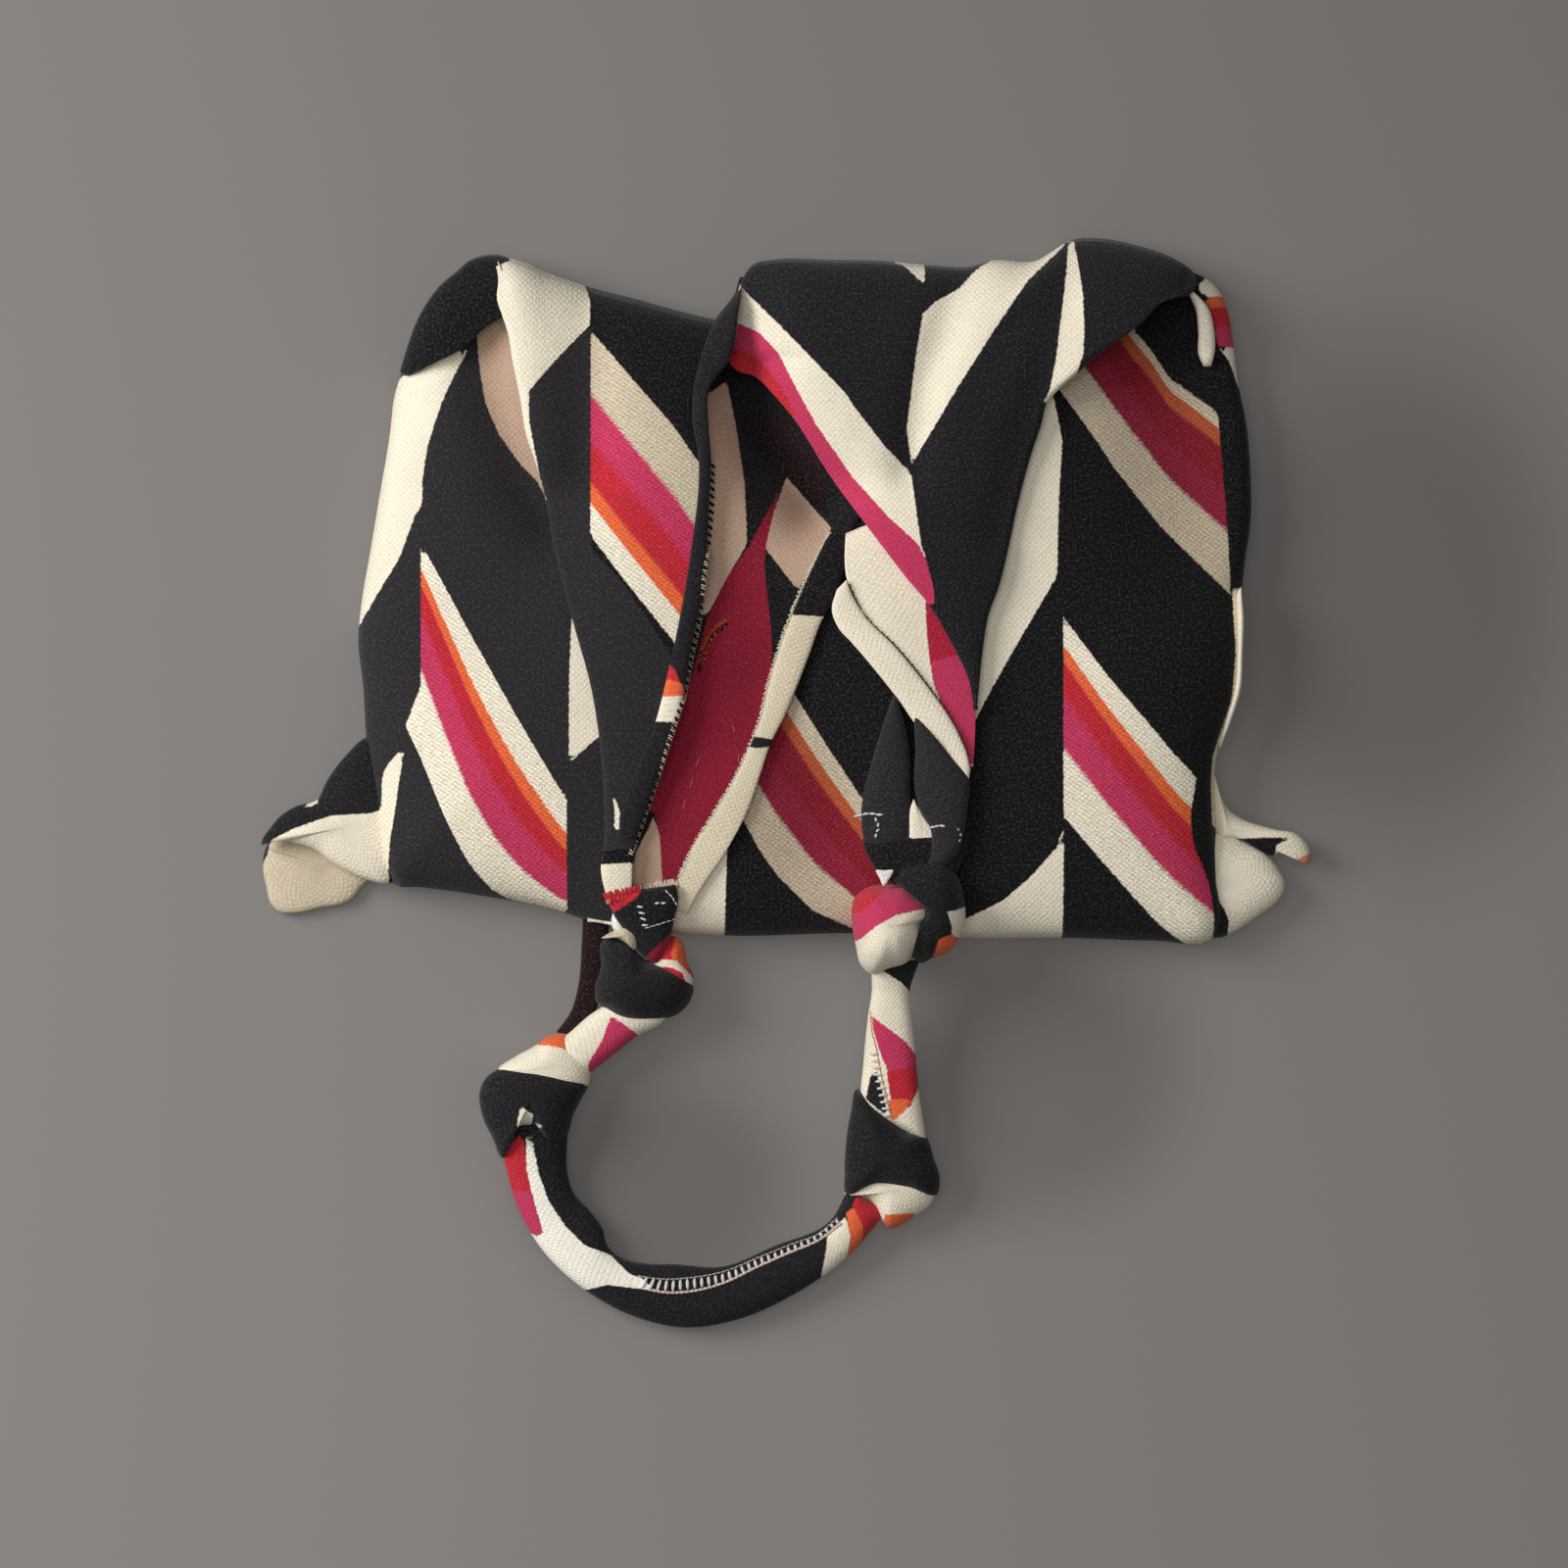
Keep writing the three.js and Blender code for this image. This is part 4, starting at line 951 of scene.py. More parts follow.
LEFT_INSIDE_FIELDS = [
    ("blush", [
        (-31, 159.5), (-24, 165), (-20.5, 149), (-16.5, 123), (-15.5, 102), (-15.5, 97.5), (-23, 85),
        (-31.5, 69), (-44.5, 69), (-44.5, 159.5),
    ]),
    ("crimson", [
        (-1.5, 125), (-5, 115), (-15, 96), (-23, 85), (-31.5, 68), (-38, 44), (-44.5, 25), (-58.5, -9),
        (-53, -12), (-49.5, -48), (-40.5, -48), (-22.5, -11), (-10.5, 11.5), (-6.5, 26), (-5, 40.5),
        (-5.5, 62), (-8, 84), (-8.5, 92), (-5, 107), (-1.5, 122.5),
    ]),
    ("blush", [(0.5, 126), (15.5, 108.5), (19.5, 104), (11, 88), (5, 79), (-8, 96), (-5, 109)]),
    ("blush", [(-53.5, -13), (-51, -21.5), (-49.5, -48), (-64.5, -48), (-61, -28.5), (-56.5, -20)]),
    # The maroon field is painted shade in the hollow at the top of the mouth.
    ("maroon", [(0, 126.5), (-10, 143), (-2, 152), (10, 137), (18, 124), (15, 115), (10, 118)]),
]
left_inside = dye(
    flat_sheet(
        "left_ear_inside",
        [
            (-29, 180), (-34, 160), (-35, 147.5), (-33, 123), (-35.5, 96.5), (-39.5, 64), (-43, 44),
            (-53, 8), (-62.5, -20), (-66, -42),
        ],
        [
            (-4.5, 168), (17.5, 140), (31.5, 112), (26, 102), (12, 76), (2, 44), (-9, 17),
            (-17.5, -2.5), (-34, -32), (-41.5, -45),
        ],
        2.2,
    ),
    # The dark ground is painted shade in the open mouth.
    "dark", LEFT_INSIDE_FIELDS,
)
RIGHT_INSIDE_FIELDS = [
    ("scarlet", [(57, 84), (57.5, 64), (59, 48), (81.5, 48), (81.5, 84)]),
    ("magenta", [(59, 49.5), (60.5, 40.5), (73.5, 8), (81.5, 8), (81.5, 56)]),
]
right_inside = dye(
    flat_sheet(
        "right_ear_inside",
        [(24.5, 102), (25, 84), (32, 69), (45, 55.5), (58.5, 39), (67, 25), (75, 8)],
        [(39.5, 108), (55, 85), (62, 69), (71, 53), (76.5, 40), (77.5, 24), (76.5, 7)],
        3.6, rows=60, cols=26,
    ),
    "cream", RIGHT_INSIDE_FIELDS,
)
print("insides:", left_inside.name, "and", right_inside.name)

# %% [markdown]
# Hems, pleats, the strap and its knots are all soft bands of cloth. A band is drawn by its two
# edges as seen from above, with a height and a thickness along it, and its section is a soft
# oval, so it can be a thin hem or a plump strap. A lobe of a knot is drawn by its outline and
# swells like a small cushion.

# %% Bands and lobes
FLOOR_GAP = 0.4
# A height over the front is taken at this many places along a line.
HEM_LEVELS = 12
# A band thins over a few rows at its ends, down to a least share of its thickness.
END_ROWS, END_SHARE = 4, 0.15
# A lobe is widest at this share of its height.
LOBE_WAIST = 0.45
LOBE_POINTS = 96
# Its rings over the waist and under it, as shares of the way out from its heart.
LOBE_SHARES = ((1, np.linspace(0.03, 1, 22)), (-1, np.linspace(0.97, 0.03, 14)))


def band(
    name, edge_a, edge_b, middle, thick, ground, fields=(), rows=60, cols=28, square=2.6
):
    """A closed band of cloth between two edges; middle is its height, thick its thickness."""
    a, b = smooth_path(edge_a, rows), smooth_path(edge_b, rows)
    centre, half = (a + b) / 2, (b - a) / 2
    level, deep = spread(middle, rows), spread(thick, rows) / 2
    ends = np.minimum(np.arange(rows), np.arange(rows)[::-1]) / END_ROWS
    deep = deep * np.clip(1 - (1 - np.clip(ends, 0, 1)) ** 2, END_SHARE, 1) ** 0.5
    angle = np.linspace(0, 2 * math.pi, cols, endpoint=False)
    wide, tall = [np.sign(v) * np.abs(v) ** (2 / square) for v in (np.cos(angle), np.sin(angle))]
    plan = centre[:, None] + half[:, None] * wide[None, :, None]
    height = level[:, None] + deep[:, None] * tall[None]
    grid = np.concatenate([plan, np.maximum(height, FLOOR_GAP)[:, :, None]], axis=2)
    return dye(turn_outwards(grid_mesh(name, grid, ring=True, caps=True)), ground, fields)


def lobe(name, outline, low, high, ground, fields=(), heart=None, crown=2.2):
    """A closed cushion of cloth inside an outline, between two heights."""
    edge = smooth_path(outline, LOBE_POINTS, closed=True)
    heart = edge.mean(0) if heart is None else np.array(heart, float)
    waist = low + (high - low) * LOBE_WAIST
    rings = []
    for side, shares in LOBE_SHARES:
        reach = high - waist if side > 0 else waist - low
        for share in shares:
            level = max(waist + side * reach * (1 - share**crown) ** (1 / crown), FLOOR_GAP)
            rings.append(np.column_stack([heart + (edge - heart) * share, np.full(LOBE_POINTS, level)]))
    return dye(turn_outwards(grid_mesh(name, rings, ring=True, caps=True)), ground, fields)


def over_front(points, lift):
    """Heights along a line that lies over the front of the pouch."""
    return front_height(smooth_path(points, HEM_LEVELS)) + lift


# %% [markdown]
# Three hems edge the mouth. The left ear's hem is a narrow black roll, and the front layer's
# hems are flat cream strips with a raw overlocked side.

# %% Hems
LEFT_HEM_EDGES = (
    [
        (-25, 195), (-29, 188), (-34.5, 172.5), (-37, 161.5), (-37.5, 147.5), (-35, 132), (-35, 123),
        (-38, 96.5), (-43.5, 64), (-47, 48), (-53, 24), (-62.5, 0), (-71, -27),
    ],
    [
        (-17.5, 205), (-19, 192), (-22.5, 172.5), (-30.5, 161.5), (-31, 146), (-30, 132), (-31, 112),
        (-32.5, 84), (-38, 56), (-43, 28), (-53.5, -2), (-63.5, -31),
    ],
)
left_hem = band(
    "left_ear_hem", *LEFT_HEM_EDGES, right_side_height["left_ear"] + 0.6, 5.0, "black",
    [
        ("red", [(-51.5, 47), (-48.5, 49.5), (-45, 47), (-42, 40), (-52.5, 40)]),
        ("orange", [(-52.5, 40.5), (-47, 42.5), (-42, 41), (-39.5, 35), (-53, 33.5)]),
        ("cream", [(-56.5, 35), (-38.5, 36), (-40.5, 25), (-58.5, 25.5)]),
    ],
    rows=110,
)
MIDDLE_HEM_EDGES = (
    [
        (19.5, 105.5), (15, 96), (8, 81), (3, 69), (-2.5, 54), (-6.5, 40.5), (-10, 26), (-14, 16),
        (-19.5, 4), (-28.5, -11), (-38, -27), (-44.5, -40), (-48.5, -49),
    ],
    [
        (28.5, 102), (24.5, 90), (20, 75), (15, 66.5), (10, 53), (5, 40), (-0.5, 27), (-6, 16),
        (-10, 4), (-16, -12.5), (-23.5, -26.5), (-34, -42), (-40.5, -53),
    ],
)
middle_hem = band(
    "front_hem_left", *MIDDLE_HEM_EDGES,
    over_front(
        [(20, 102), (12, 76), (2, 44), (-9, 17), (-17.5, -2.5), (-34, -32), (-44.5, -51)],
        np.linspace(4.2, 2.6, HEM_LEVELS),
    ),
    # The strip is oat, cream in painted shade.
    [3.2, 3.2, 3.2, 2.4, 1.2, 0.8], "oat",
    [
        # The dark field is painted shade at the top of the mouth.
        ("dark", [(11.5, 120), (39.5, 112), (31.5, 80), (16.5, 68), (1.5, 69), (5.5, 80)]),
        ("black", [(-16.5, 20), (-3.5, 18), (-3.5, 15.5), (-11.5, 14.5), (-17.5, 16)]),
    ],
    rows=90,
)
RIGHT_HEM_EDGES = (
    [(21, 79), (19, 71), (22, 63), (27, 57.5), (44, 37), (59.5, 16), (69.5, 6.5), (74.5, 1)],
    [(25, 83), (27, 77.5), (32, 69), (45, 55.5), (58.5, 39), (67, 27), (73.5, 14), (75.5, 6)],
)
right_hem = band(
    "front_hem_right", *RIGHT_HEM_EDGES,
    over_front([(23, 80), (30, 62.5), (44.5, 46.5), (59, 27.5), (71, 11), (74.5, 4)], 5.2),
    3.6, "cream", rows=80,
)
print("hems:", left_hem.name, middle_hem.name, right_hem.name)

# %% [markdown]
# The tip of the right ear is gathered in two black pleats that go into the strap. The lower
# corners of the pouch stick out as tabs of folded cloth, and the upper corners are rolled.

# %% Pleats of the right tip
# The pleats are charcoal, a lighter black as painted light on their raised folds.
band(
    "pleat_left",
    [(44, 36), (39.5, 23), (35, 8), (32, -3.5), (31, -14), (32.5, -24), (35.5, -29.5)],
    [(45, 36), (49, 23), (51, 8), (51, -3.5), (51, -14), (50.5, -24), (51, -29.5)],
    over_front([(44.5, 40), (41.5, 0), (42, -32)], 4.5),
    7, "charcoal", square=2.2,
)
band(
    "pleat_right",
    [(52, 29.5), (53, 16), (53, -3.5), (55.5, -12), (59, -18), (59, -28), (55.5, -35)],
    [(63, 17), (69.5, 9), (74.5, 3), (74.5, -8), (73, -19), (71, -27), (66, -33.5)],
    over_front([(57.5, 24), (64.5, 0), (63.5, -32)], 5),
    8, "charcoal", square=2.2,
)
lobe(
    "cream_between_the_pleats",
    [
        (52.5, -6), (53, -7), (64.5, -24.5), (65, -25.5), (63.5, -25.5), (51, -25.5), (49.5, -25.5),
        (50, -24), (51.5, -8),
    ],
    36, 40.5, "cream", crown=4,
)
print("pieces so far:", len(dyed))

# %% Tabs at the lower corners
lobe(
    "left_tab_lower_fold",
    [
        (-214, -27), (-215, -33.5), (-213.5, -43), (-212, -49), (-208, -53), (-203, -53.5),
        (-190.5, -51), (-182, -49.5), (-177.5, -47), (-174.5, -43), (-170, -39), (-160.5, -36),
        (-160.5, -24), (-188.5, -18),
    ],
    # Its tan ground is cream in painted shade under the upper fold.
    0.5, 7.5, "tan",
    [("black", [(-219.5, -20), (-211.5, -23), (-213, -29), (-215, -33.5), (-219.5, -36)])],
    heart=(-190, -34), crown=3,
)
lobe(
    "left_tab_upper_fold",
    [
        (-215, -25), (-211.5, -23.5), (-206.5, -23), (-200.5, -24.5), (-193, -27), (-186.5, -32),
        (-179.5, -36), (-171, -39.5), (-162.5, -41), (-156.5, -36), (-156.5, 8), (-171, 19.5),
        (-180.5, 11.5), (-188.5, 0.5), (-192, -6.5), (-200.5, -9), (-207, -13), (-212, -19),
        (-214.5, -22.5),
    ],
    6, 21, "black",
    [
        ("cream", [
            (-155.5, 15.5), (-161, 9.5), (-164, 5), (-165, 0), (-165, -10.5), (-169.5, -12),
            (-186, -13), (-195, -16), (-203, -19), (-210.5, -23), (-216.5, -32), (-188.5, -48),
            (-162.5, -46), (-162.5, -34), (-161.5, -23), (-159, -9), (-158, -1.5),
        ]),
        ("cream", [(-197, -9.5), (-195.5, -7.5), (-192, -5), (-191.5, -8), (-195, -9.5)]),
    ],
    heart=(-181, -18),
)
lobe(
    "right_tab_fold",
    [
        (169.5, -20), (177.5, -17), (188.5, -22.5), (197.5, -28), (203, -35), (205.5, -40),
        (205, -44.5), (203, -47.5), (193.5, -55), (186, -60), (179.5, -63), (169.5, -62),
    ],
    1, 19, "cream",
    [
        ("black", [
            (167, 4), (175.5, 4), (177, -7), (177, -19), (175, -34), (175, -44.5), (180, -51),
            (182, -56), (181.5, -68), (175.5, -68), (175.5, -53), (174, -43), (171.5, -35),
            (167, -25.5), (159.5, -12),
        ]),
    ],
    heart=(180, -42),
)
lobe(
    "right_tab_point",
    [
        (175.5, 6.5), (178, -2.5), (183, -11), (189.5, -15), (195.5, -17), (203.5, -19), (209.5, -20),
        (213.5, -23), (216, -28.5), (215, -33), (211, -31), (205, -28), (199.5, -29.5), (193, -26.5),
        (185.5, -23), (177, -23), (176, -12), (175.5, -2.5),
    ],
    4, 17, "cream",
    [
        ("salmon", [(210, -30.5), (217.5, -28), (219.5, -36), (211.5, -36)]),
        # The dark field is painted shade in the hollow of the fold under the point.
        ("dark", [(184.5, -22.5), (195.5, -22), (208, -22), (201.5, -25), (201, -32), (191.5, -29)]),
    ],
    heart=(182, -19),
)
print("pieces so far:", len(dyed))

# %% Rolled upper corners
CORNER_COLUMNS, CORNER_ROWS = 44, 26
CORNER_SHOULDER, CORNER_RISE = 34, 21
# Its crumples: their height, and the lengths of their waves.
CRUMPLE, CRUMPLE_WAVES = 0.9, (5, 9, 7)
corner_edge = smooth_path(
    [
        (-158, 169), (-155, 179), (-151, 190), (-145.5, 199.5), (-141, 205), (-135, 210), (-129, 215),
        (-122.5, 217), (-117, 217), (-111, 214.5),
    ],
    CORNER_COLUMNS,
)
corner_fold = smooth_path(
    [
        (-155.5, 167), (-150, 169), (-144.5, 171.5), (-135.5, 175.5), (-130, 179), (-126, 183),
        (-120.5, 187.5), (-115, 191), (-108.5, 195),
    ],
    CORNER_COLUMNS,
)
share = np.linspace(0, 1, CORNER_ROWS)[:, None, None]
corner_plan = corner_edge[None] * (1 - share) + corner_fold[None] * share
corner_far = np.linalg.norm(corner_plan - corner_edge[None], axis=2)
corner_rise = rounded(np.minimum(corner_far / CORNER_SHOULDER, 1), EAR_ROUNDING)
x, y = corner_plan[:, :, 0], corner_plan[:, :, 1]
first, second, third = CRUMPLE_WAVES
folds = CRUMPLE * np.sin(x / first - y / second) * np.sin(y / third)
corner_height = EAR_EDGE + (CORNER_RISE + folds) * corner_rise
# The rolled corner is the deep black, as painted shade.
left_corner = dye(rolled_sheet("upper_left_corner", corner_plan, corner_height), "deep")
band(
    "right_side_fold",
    [(185, 78.5), (185, 68), (185, 54), (184, 40), (181, 29), (177.5, 17.5)],
    [(187, 81), (188, 68), (187.5, 54), (186.5, 37.5), (182.5, 25), (178.5, 14.5)],
    [17, 19, 19, 19, 18, 16], [8, 13, 13, 13, 11, 6], "cream", rows=50,
)
band(
    "upper_right_loop",
    [(165, 200), (167.5, 194.5), (169, 185), (169.5, 175), (171.5, 171)],
    [(167, 201), (173, 194.5), (175.5, 186), (176, 177), (174.5, 171)],
    [28, 27, 24, 21, 20], 8, "cream", rows=40,
)
bag_pieces = list(dyed)
print("bag pieces:", len(bag_pieces))

# %% [markdown]
# The strap is a flat tube of the same cloth, cut across the stripes and tied in four knots. It
# leaves the left ear, lies on the floor in a loop and comes back up to the right ear. A knot is
# the strap wrapped round itself, so it is made of the lobes and bands that can be seen.

# %% The loop on the floor
LOOP_OUTER = [
    (-120.5, -140), (-116, -153), (-110.5, -172.5), (-101, -190), (-85, -206), (-64.5, -218),
    (-40.5, -223.5), (-20.5, -220.5), (3.5, -210), (26, -194), (41.5, -176),
]
LOOP_INNER = [
    (-88.5, -136), (-89.5, -148), (-89.5, -159), (-87, -168), (-80, -176), (-75, -183), (-73, -190),
    (-67, -195), (-58.5, -197), (-44.5, -197.5), (-26.5, -198.5), (-4.5, -190), (19, -179), (26, -166),
]
band(
    "strap_loop", LOOP_OUTER, LOOP_INNER, [12, 9, 8, 8, 7.5, 7.5, 7.5, 8, 9, 12],
    [18, 15, 14, 14, 13, 13, 13, 14, 15, 16], "black",
    [
        ("red", [
            (-120.5, -156), (-115, -151), (-113, -148), (-109, -144), (-107, -146), (-106, -157),
            (-104, -167.5), (-112.5, -170),
        ]),
        ("magenta", [
            (-114.5, -167), (-104, -167), (-101, -178), (-99, -184.5), (-102, -185.5), (-108.5, -182.5),
            (-115.5, -172),
        ]),
        # The white field is the cream with a painted highlight, where the loop faces the light.
        ("white", [
            (-106, -143), (-104, -144), (-101, -159.5), (-97, -171), (-90, -181.5), (-82.5, -189),
            (-71.5, -193.5), (-64, -201), (-58.5, -203), (-53.5, -208), (-60.5, -207), (-73, -205.5),
            (-79, -207), (-86.5, -209), (-96.5, -204), (-104.5, -192), (-109, -182.5), (-102, -185.5),
            (-99, -184.5), (-101, -178), (-104, -167), (-106, -157),
        ]),
        ("cream", [(17.5, -184), (25, -177.5), (27, -185.5), (26, -196), (14, -207), (17, -190.5)]),
        ("orange", [(25, -176), (28.5, -173), (32, -181), (32, -187), (25, -196), (27, -185.5)]),
        ("red", [
            (27.5, -172.5), (31, -166), (36.5, -166), (41.5, -177), (38.5, -184), (32, -190),
            (32, -181),
        ]),
    ],
    rows=150, cols=40, square=2.2,
)
print("pieces so far:", len(dyed))

# %% The lower knots
lobe(
    "lower_left_knot_turn",
    [
        (-118, -117.5), (-110, -111.5), (-102, -107), (-96.5, -103), (-88.5, -103), (-81.5, -109.5),
        (-79.5, -116), (-81, -124), (-92.5, -128), (-108.5, -125),
    ],
    1, 24, "cream",
    [
        ("orange", [
            (-102, -107), (-98, -101), (-90, -101), (-82.5, -106.5), (-80.5, -111), (-84.5, -110.5),
            (-91.5, -108), (-97, -107),
        ]),
    ],
)
lobe(
    "lower_left_knot_wrap",
    [
        (-125, -125), (-123, -121), (-116.5, -116.5), (-108.5, -115), (-98, -115), (-88, -118),
        (-81, -124), (-83.5, -129), (-87, -136), (-89.5, -144), (-96.5, -147), (-102.5, -141),
        (-109, -141), (-113, -149), (-116, -153.5), (-120, -145.5), (-124, -137),
    ],
    1, 26.5, "black",
    [
        ("cream", [(-108, -132), (-103, -135), (-104, -139.5), (-108.5, -144), (-109.5, -138.5)]),
        ("cream", [(-102.5, -138.5), (-99, -140), (-100.5, -141.5)]),
    ],
    heart=(-103, -127),
)
lobe(
    "lower_right_knot_wrap",
    [
        (30, -125), (33, -127.5), (43, -137), (49, -142), (58, -145), (61, -153.5), (63.5, -161.5),
        (62.5, -168.5), (51.5, -167), (36.5, -165), (25, -168.5), (24.5, -160), (25, -148), (27, -135),
    ],
    1, 26.5, "black",
)
lobe(
    "lower_right_knot_turn",
    [
        (24.5, -169), (30, -162), (41, -161), (62.5, -166.5), (60, -172.5), (51.5, -178.5),
        (47, -181.5), (42.5, -182.5), (39, -178.5), (36.5, -173), (30.5, -168.5),
    ],
    1, 21, "cream",
    [("orange", [(41, -176.5), (53.5, -176), (49.5, -185), (39.5, -185)])],
    heart=(44, -167),
)
print("pieces so far:", len(dyed))

# %% The strap between the knots
band(
    "strap_left_run",
    [(-64.5, -81.5), (-72.5, -89.5), (-80.5, -95), (-88.5, -102), (-96.5, -108)],
    [(-44.5, -88), (-51, -98.5), (-60, -103), (-69, -110), (-80.5, -119)],
    [20, 18, 15, 13, 12], [16, 18, 17, 18, 20], "cream",
    [
        ("magenta", [
            (-71, -94.5), (-59.5, -103), (-69, -112), (-80.5, -122), (-80.5, -114.5), (-75, -105),
        ]),
        ("cream", [(-67.5, -94.5), (-44.5, -94.5), (-53, -105), (-60, -103)]),
    ],
    rows=50,
)
band(
    "strap_right_run",
    [(35, -72), (35.5, -84), (34, -95), (33, -104), (32, -116), (31, -126), (31, -132)],
    [(55, -72), (51, -85), (52, -96), (53.5, -110.5), (54.5, -122.5), (56.5, -136), (58, -147)],
    [30, 24, 20, 17, 15, 14], [18, 15, 14, 14, 15, 16], "cream",
    [
        ("black", [(37, -75), (41.5, -77), (47.5, -81), (51, -85), (59.5, -76), (55, -71), (37, -71)]),
        ("magenta", [
            (35, -94.5), (41, -99), (49, -105), (54, -111.5), (57.5, -120), (43, -119.5), (39, -110),
            (36.5, -102),
        ]),
        ("red", [(41.5, -117.5), (55.5, -115), (55.5, -123), (51, -132.5), (43.5, -130.5)]),
        ("orange", [(42.5, -129), (52, -129), (45.5, -139), (42.5, -136)]),
        ("black", [(35, -120), (37, -116), (43, -137), (33, -129)]),
    ],
    rows=70,
)
print("pieces so far:", len(dyed))

# %% The upper left knot
# This strand is maroon, painted shade on the strap where it lies in shadow behind the knot.
band(
    "strap_behind_the_knot",
    [(-83, -54), (-83.5, -64.5), (-85.5, -85.5), (-88, -93.5), (-94, -102)],
    [(-71.5, -54), (-73, -64.5), (-75.5, -85.5), (-79, -96), (-86.5, -104)],
    [11, 11, 10, 9, 9], 7, "maroon", rows=50,
)
band(
    "left_sleeve",
    [(-73, -45), (-70, -53), (-62.5, -65), (-58.5, -71)],
    [(-44.5, -41), (-43.5, -46.5), (-45, -54.5), (-47, -63), (-51.5, -74)],
    [36, 34, 30, 27, 25], [9, 10, 11, 12, 12], "black",
    [
        ("red", [(-76.5, -40), (-59.5, -41.5), (-59, -46), (-64, -48.5), (-69, -52), (-75.5, -53.5)]),
        ("crimson", [(-58.5, -72), (-47, -61), (-43.5, -63), (-39.5, -74), (-52, -74)]),
    ],
    rows=50,
)
lobe(
    "left_sleeve_end",
    [(-69.5, -52), (-67, -53.5), (-65, -58), (-66, -61), (-69, -60.5), (-71, -56)],
    24, 33, "thread",
)
band(
    "left_sleeve_side", [(-81, -54.5), (-75.5, -55), (-69, -56.5)],
    [(-81, -56.5), (-75.5, -57), (-69, -58.5)], [15, 17, 20], 3, "cream", rows=30,
)
lobe(
    "upper_left_knot_turn",
    [(-56.5, -73), (-47, -62), (-43.5, -63), (-40, -73), (-37.5, -81.5), (-40.5, -85), (-48.5, -80)],
    8, 30, "red",
    [
        ("orange", [(-44, -60), (-39.5, -65), (-39.5, -77), (-45.5, -73), (-46.5, -69)]),
        ("cream", [
            (-54, -71.5), (-44.5, -72), (-39, -77.5), (-35, -84), (-39, -85), (-42, -77), (-46, -75),
            (-52.5, -74.5),
        ]),
    ],
)
lobe(
    "upper_left_knot_wrap",
    [
        (-75, -64.5), (-75.5, -75), (-78, -84.5), (-77, -90), (-73.5, -92), (-68, -95.5), (-61, -97),
        (-51, -96.5), (-43.5, -94), (-39, -89), (-37.5, -83.5), (-41.5, -77.5), (-46.5, -75),
        (-52, -73), (-56.5, -72.5), (-61, -68.5), (-64.5, -64), (-69, -62.5),
    ],
    3, 37, "black", heart=(-61, -82),
)
lobe(
    "upper_left_knot_fold",
    [(-75, -63), (-70, -60), (-64.5, -57.5), (-59.5, -62), (-61, -68), (-65, -65), (-69, -63)],
    20, 35, "tan", heart=(-65.5, -62),
)
print("pieces so far:", len(dyed))

# %% The upper right knot
band(
    "right_sleeve",
    [(31.5, -22.5), (33.5, -29), (36.5, -34.5), (39.5, -40)],
    [(75, -19), (73.5, -27), (71, -33.5), (67.5, -40)],
    [36, 37, 37, 36], [9, 10, 11, 12], "dark", rows=40,
)
lobe(
    "upper_right_knot_loop",
    [
        (41, -36), (51, -30.5), (64.5, -30.5), (71, -38.5), (73.5, -49), (73, -58.5), (70.5, -63.5),
        (66, -69), (61, -70.5), (55.5, -73), (51, -70), (55, -52), (47, -42),
    ],
    16, 51, "black",
    [
        ("cream", [(66, -52), (75.5, -49.5), (75.5, -60), (71, -63), (68, -61.5), (67.5, -57)]),
        ("orange", [(62.5, -63), (67.5, -61), (71, -63), (66, -71), (59.5, -73)]),
    ],
    heart=(60, -52),
)
lobe(
    "upper_right_knot_end",
    [(37, -35), (40.5, -35), (44, -35), (42.5, -38.5), (40, -41.5), (38.5, -38.5)],
    43, 46, "thread", crown=4,
)
lobe(
    "upper_right_knot_wrap",
    [
        (28.5, -46.5), (33, -42.5), (40.5, -41), (49, -41), (55, -44), (60.5, -49), (61, -52.5),
        (56.5, -57), (57, -61), (52.5, -69.5), (50, -73), (43, -75.5), (35, -77.5), (31, -74),
        (29, -66.5), (27.5, -58),
    ],
    8, 56, "cream",
    [
        ("magenta", [
            (23.5, -40), (63.5, -36), (60.5, -49), (54.5, -51), (45, -53), (37, -57.5), (30, -63.5),
            (23.5, -66),
        ]),
        ("red", [(23.5, -38), (39.5, -36), (41, -42), (37, -46.5), (31, -52), (23.5, -54)]),
    ],
)
strap_pieces = dyed[len(bag_pieces) :]
print("strap pieces:", len(strap_pieces))

# %% [markdown]
# Thread is what shows that the bag is sewn: overlock stitches along the hems and the strap's
# seam, white tacks where the ears go into the strap, and frayed ends at raw edges. A stitch
# repeats along a seam, so one Geometry Nodes tree places it. It turns a line into points at
# even steps, sets a small rounded bar on each, turns it to the seam and joins the bars.

# %% A tree that sews along a line
sewing, given, sewing_out = new_group(
    "row of stitches",
    {
        "Line": "Geometry",
        "Step": "Float",
        "First Length": "Float",
        "Last Length": "Float",
        "Thickness": "Float",
        "Turn": "Float",
        "Zigzag": "Float",
        "Loose": "Float",
        "Seed": "Int",
        "Thread": "Material",
    },
    {"Stitches": "Geometry"},
    "GeometryNodeTree",
)
SOCKETS = {item.name: item.identifier for item in sewing.interface.items_tree}
step = partial(add, sewing)
curve = step("GeometryNodeMeshToCurve", {"Mesh": given["Line"]})["Curve"]
spots = step("GeometryNodeCurveToPoints", {"Curve": curve, "Length": given["Step"]}, mode="LENGTH")
count = step("GeometryNodeAttributeDomainSize", {"Geometry": spots["Points"]}, component="POINTCLOUD")
index = Value(step("GeometryNodeInputIndex")["Index"])
ends = {"To Min": given["First Length"], "To Max": given["Last Length"]}
length = step("ShaderNodeMapRange", {"Value": index / count["Point Count"], **ends})[0]
swing = index % 2 * -2 + 1
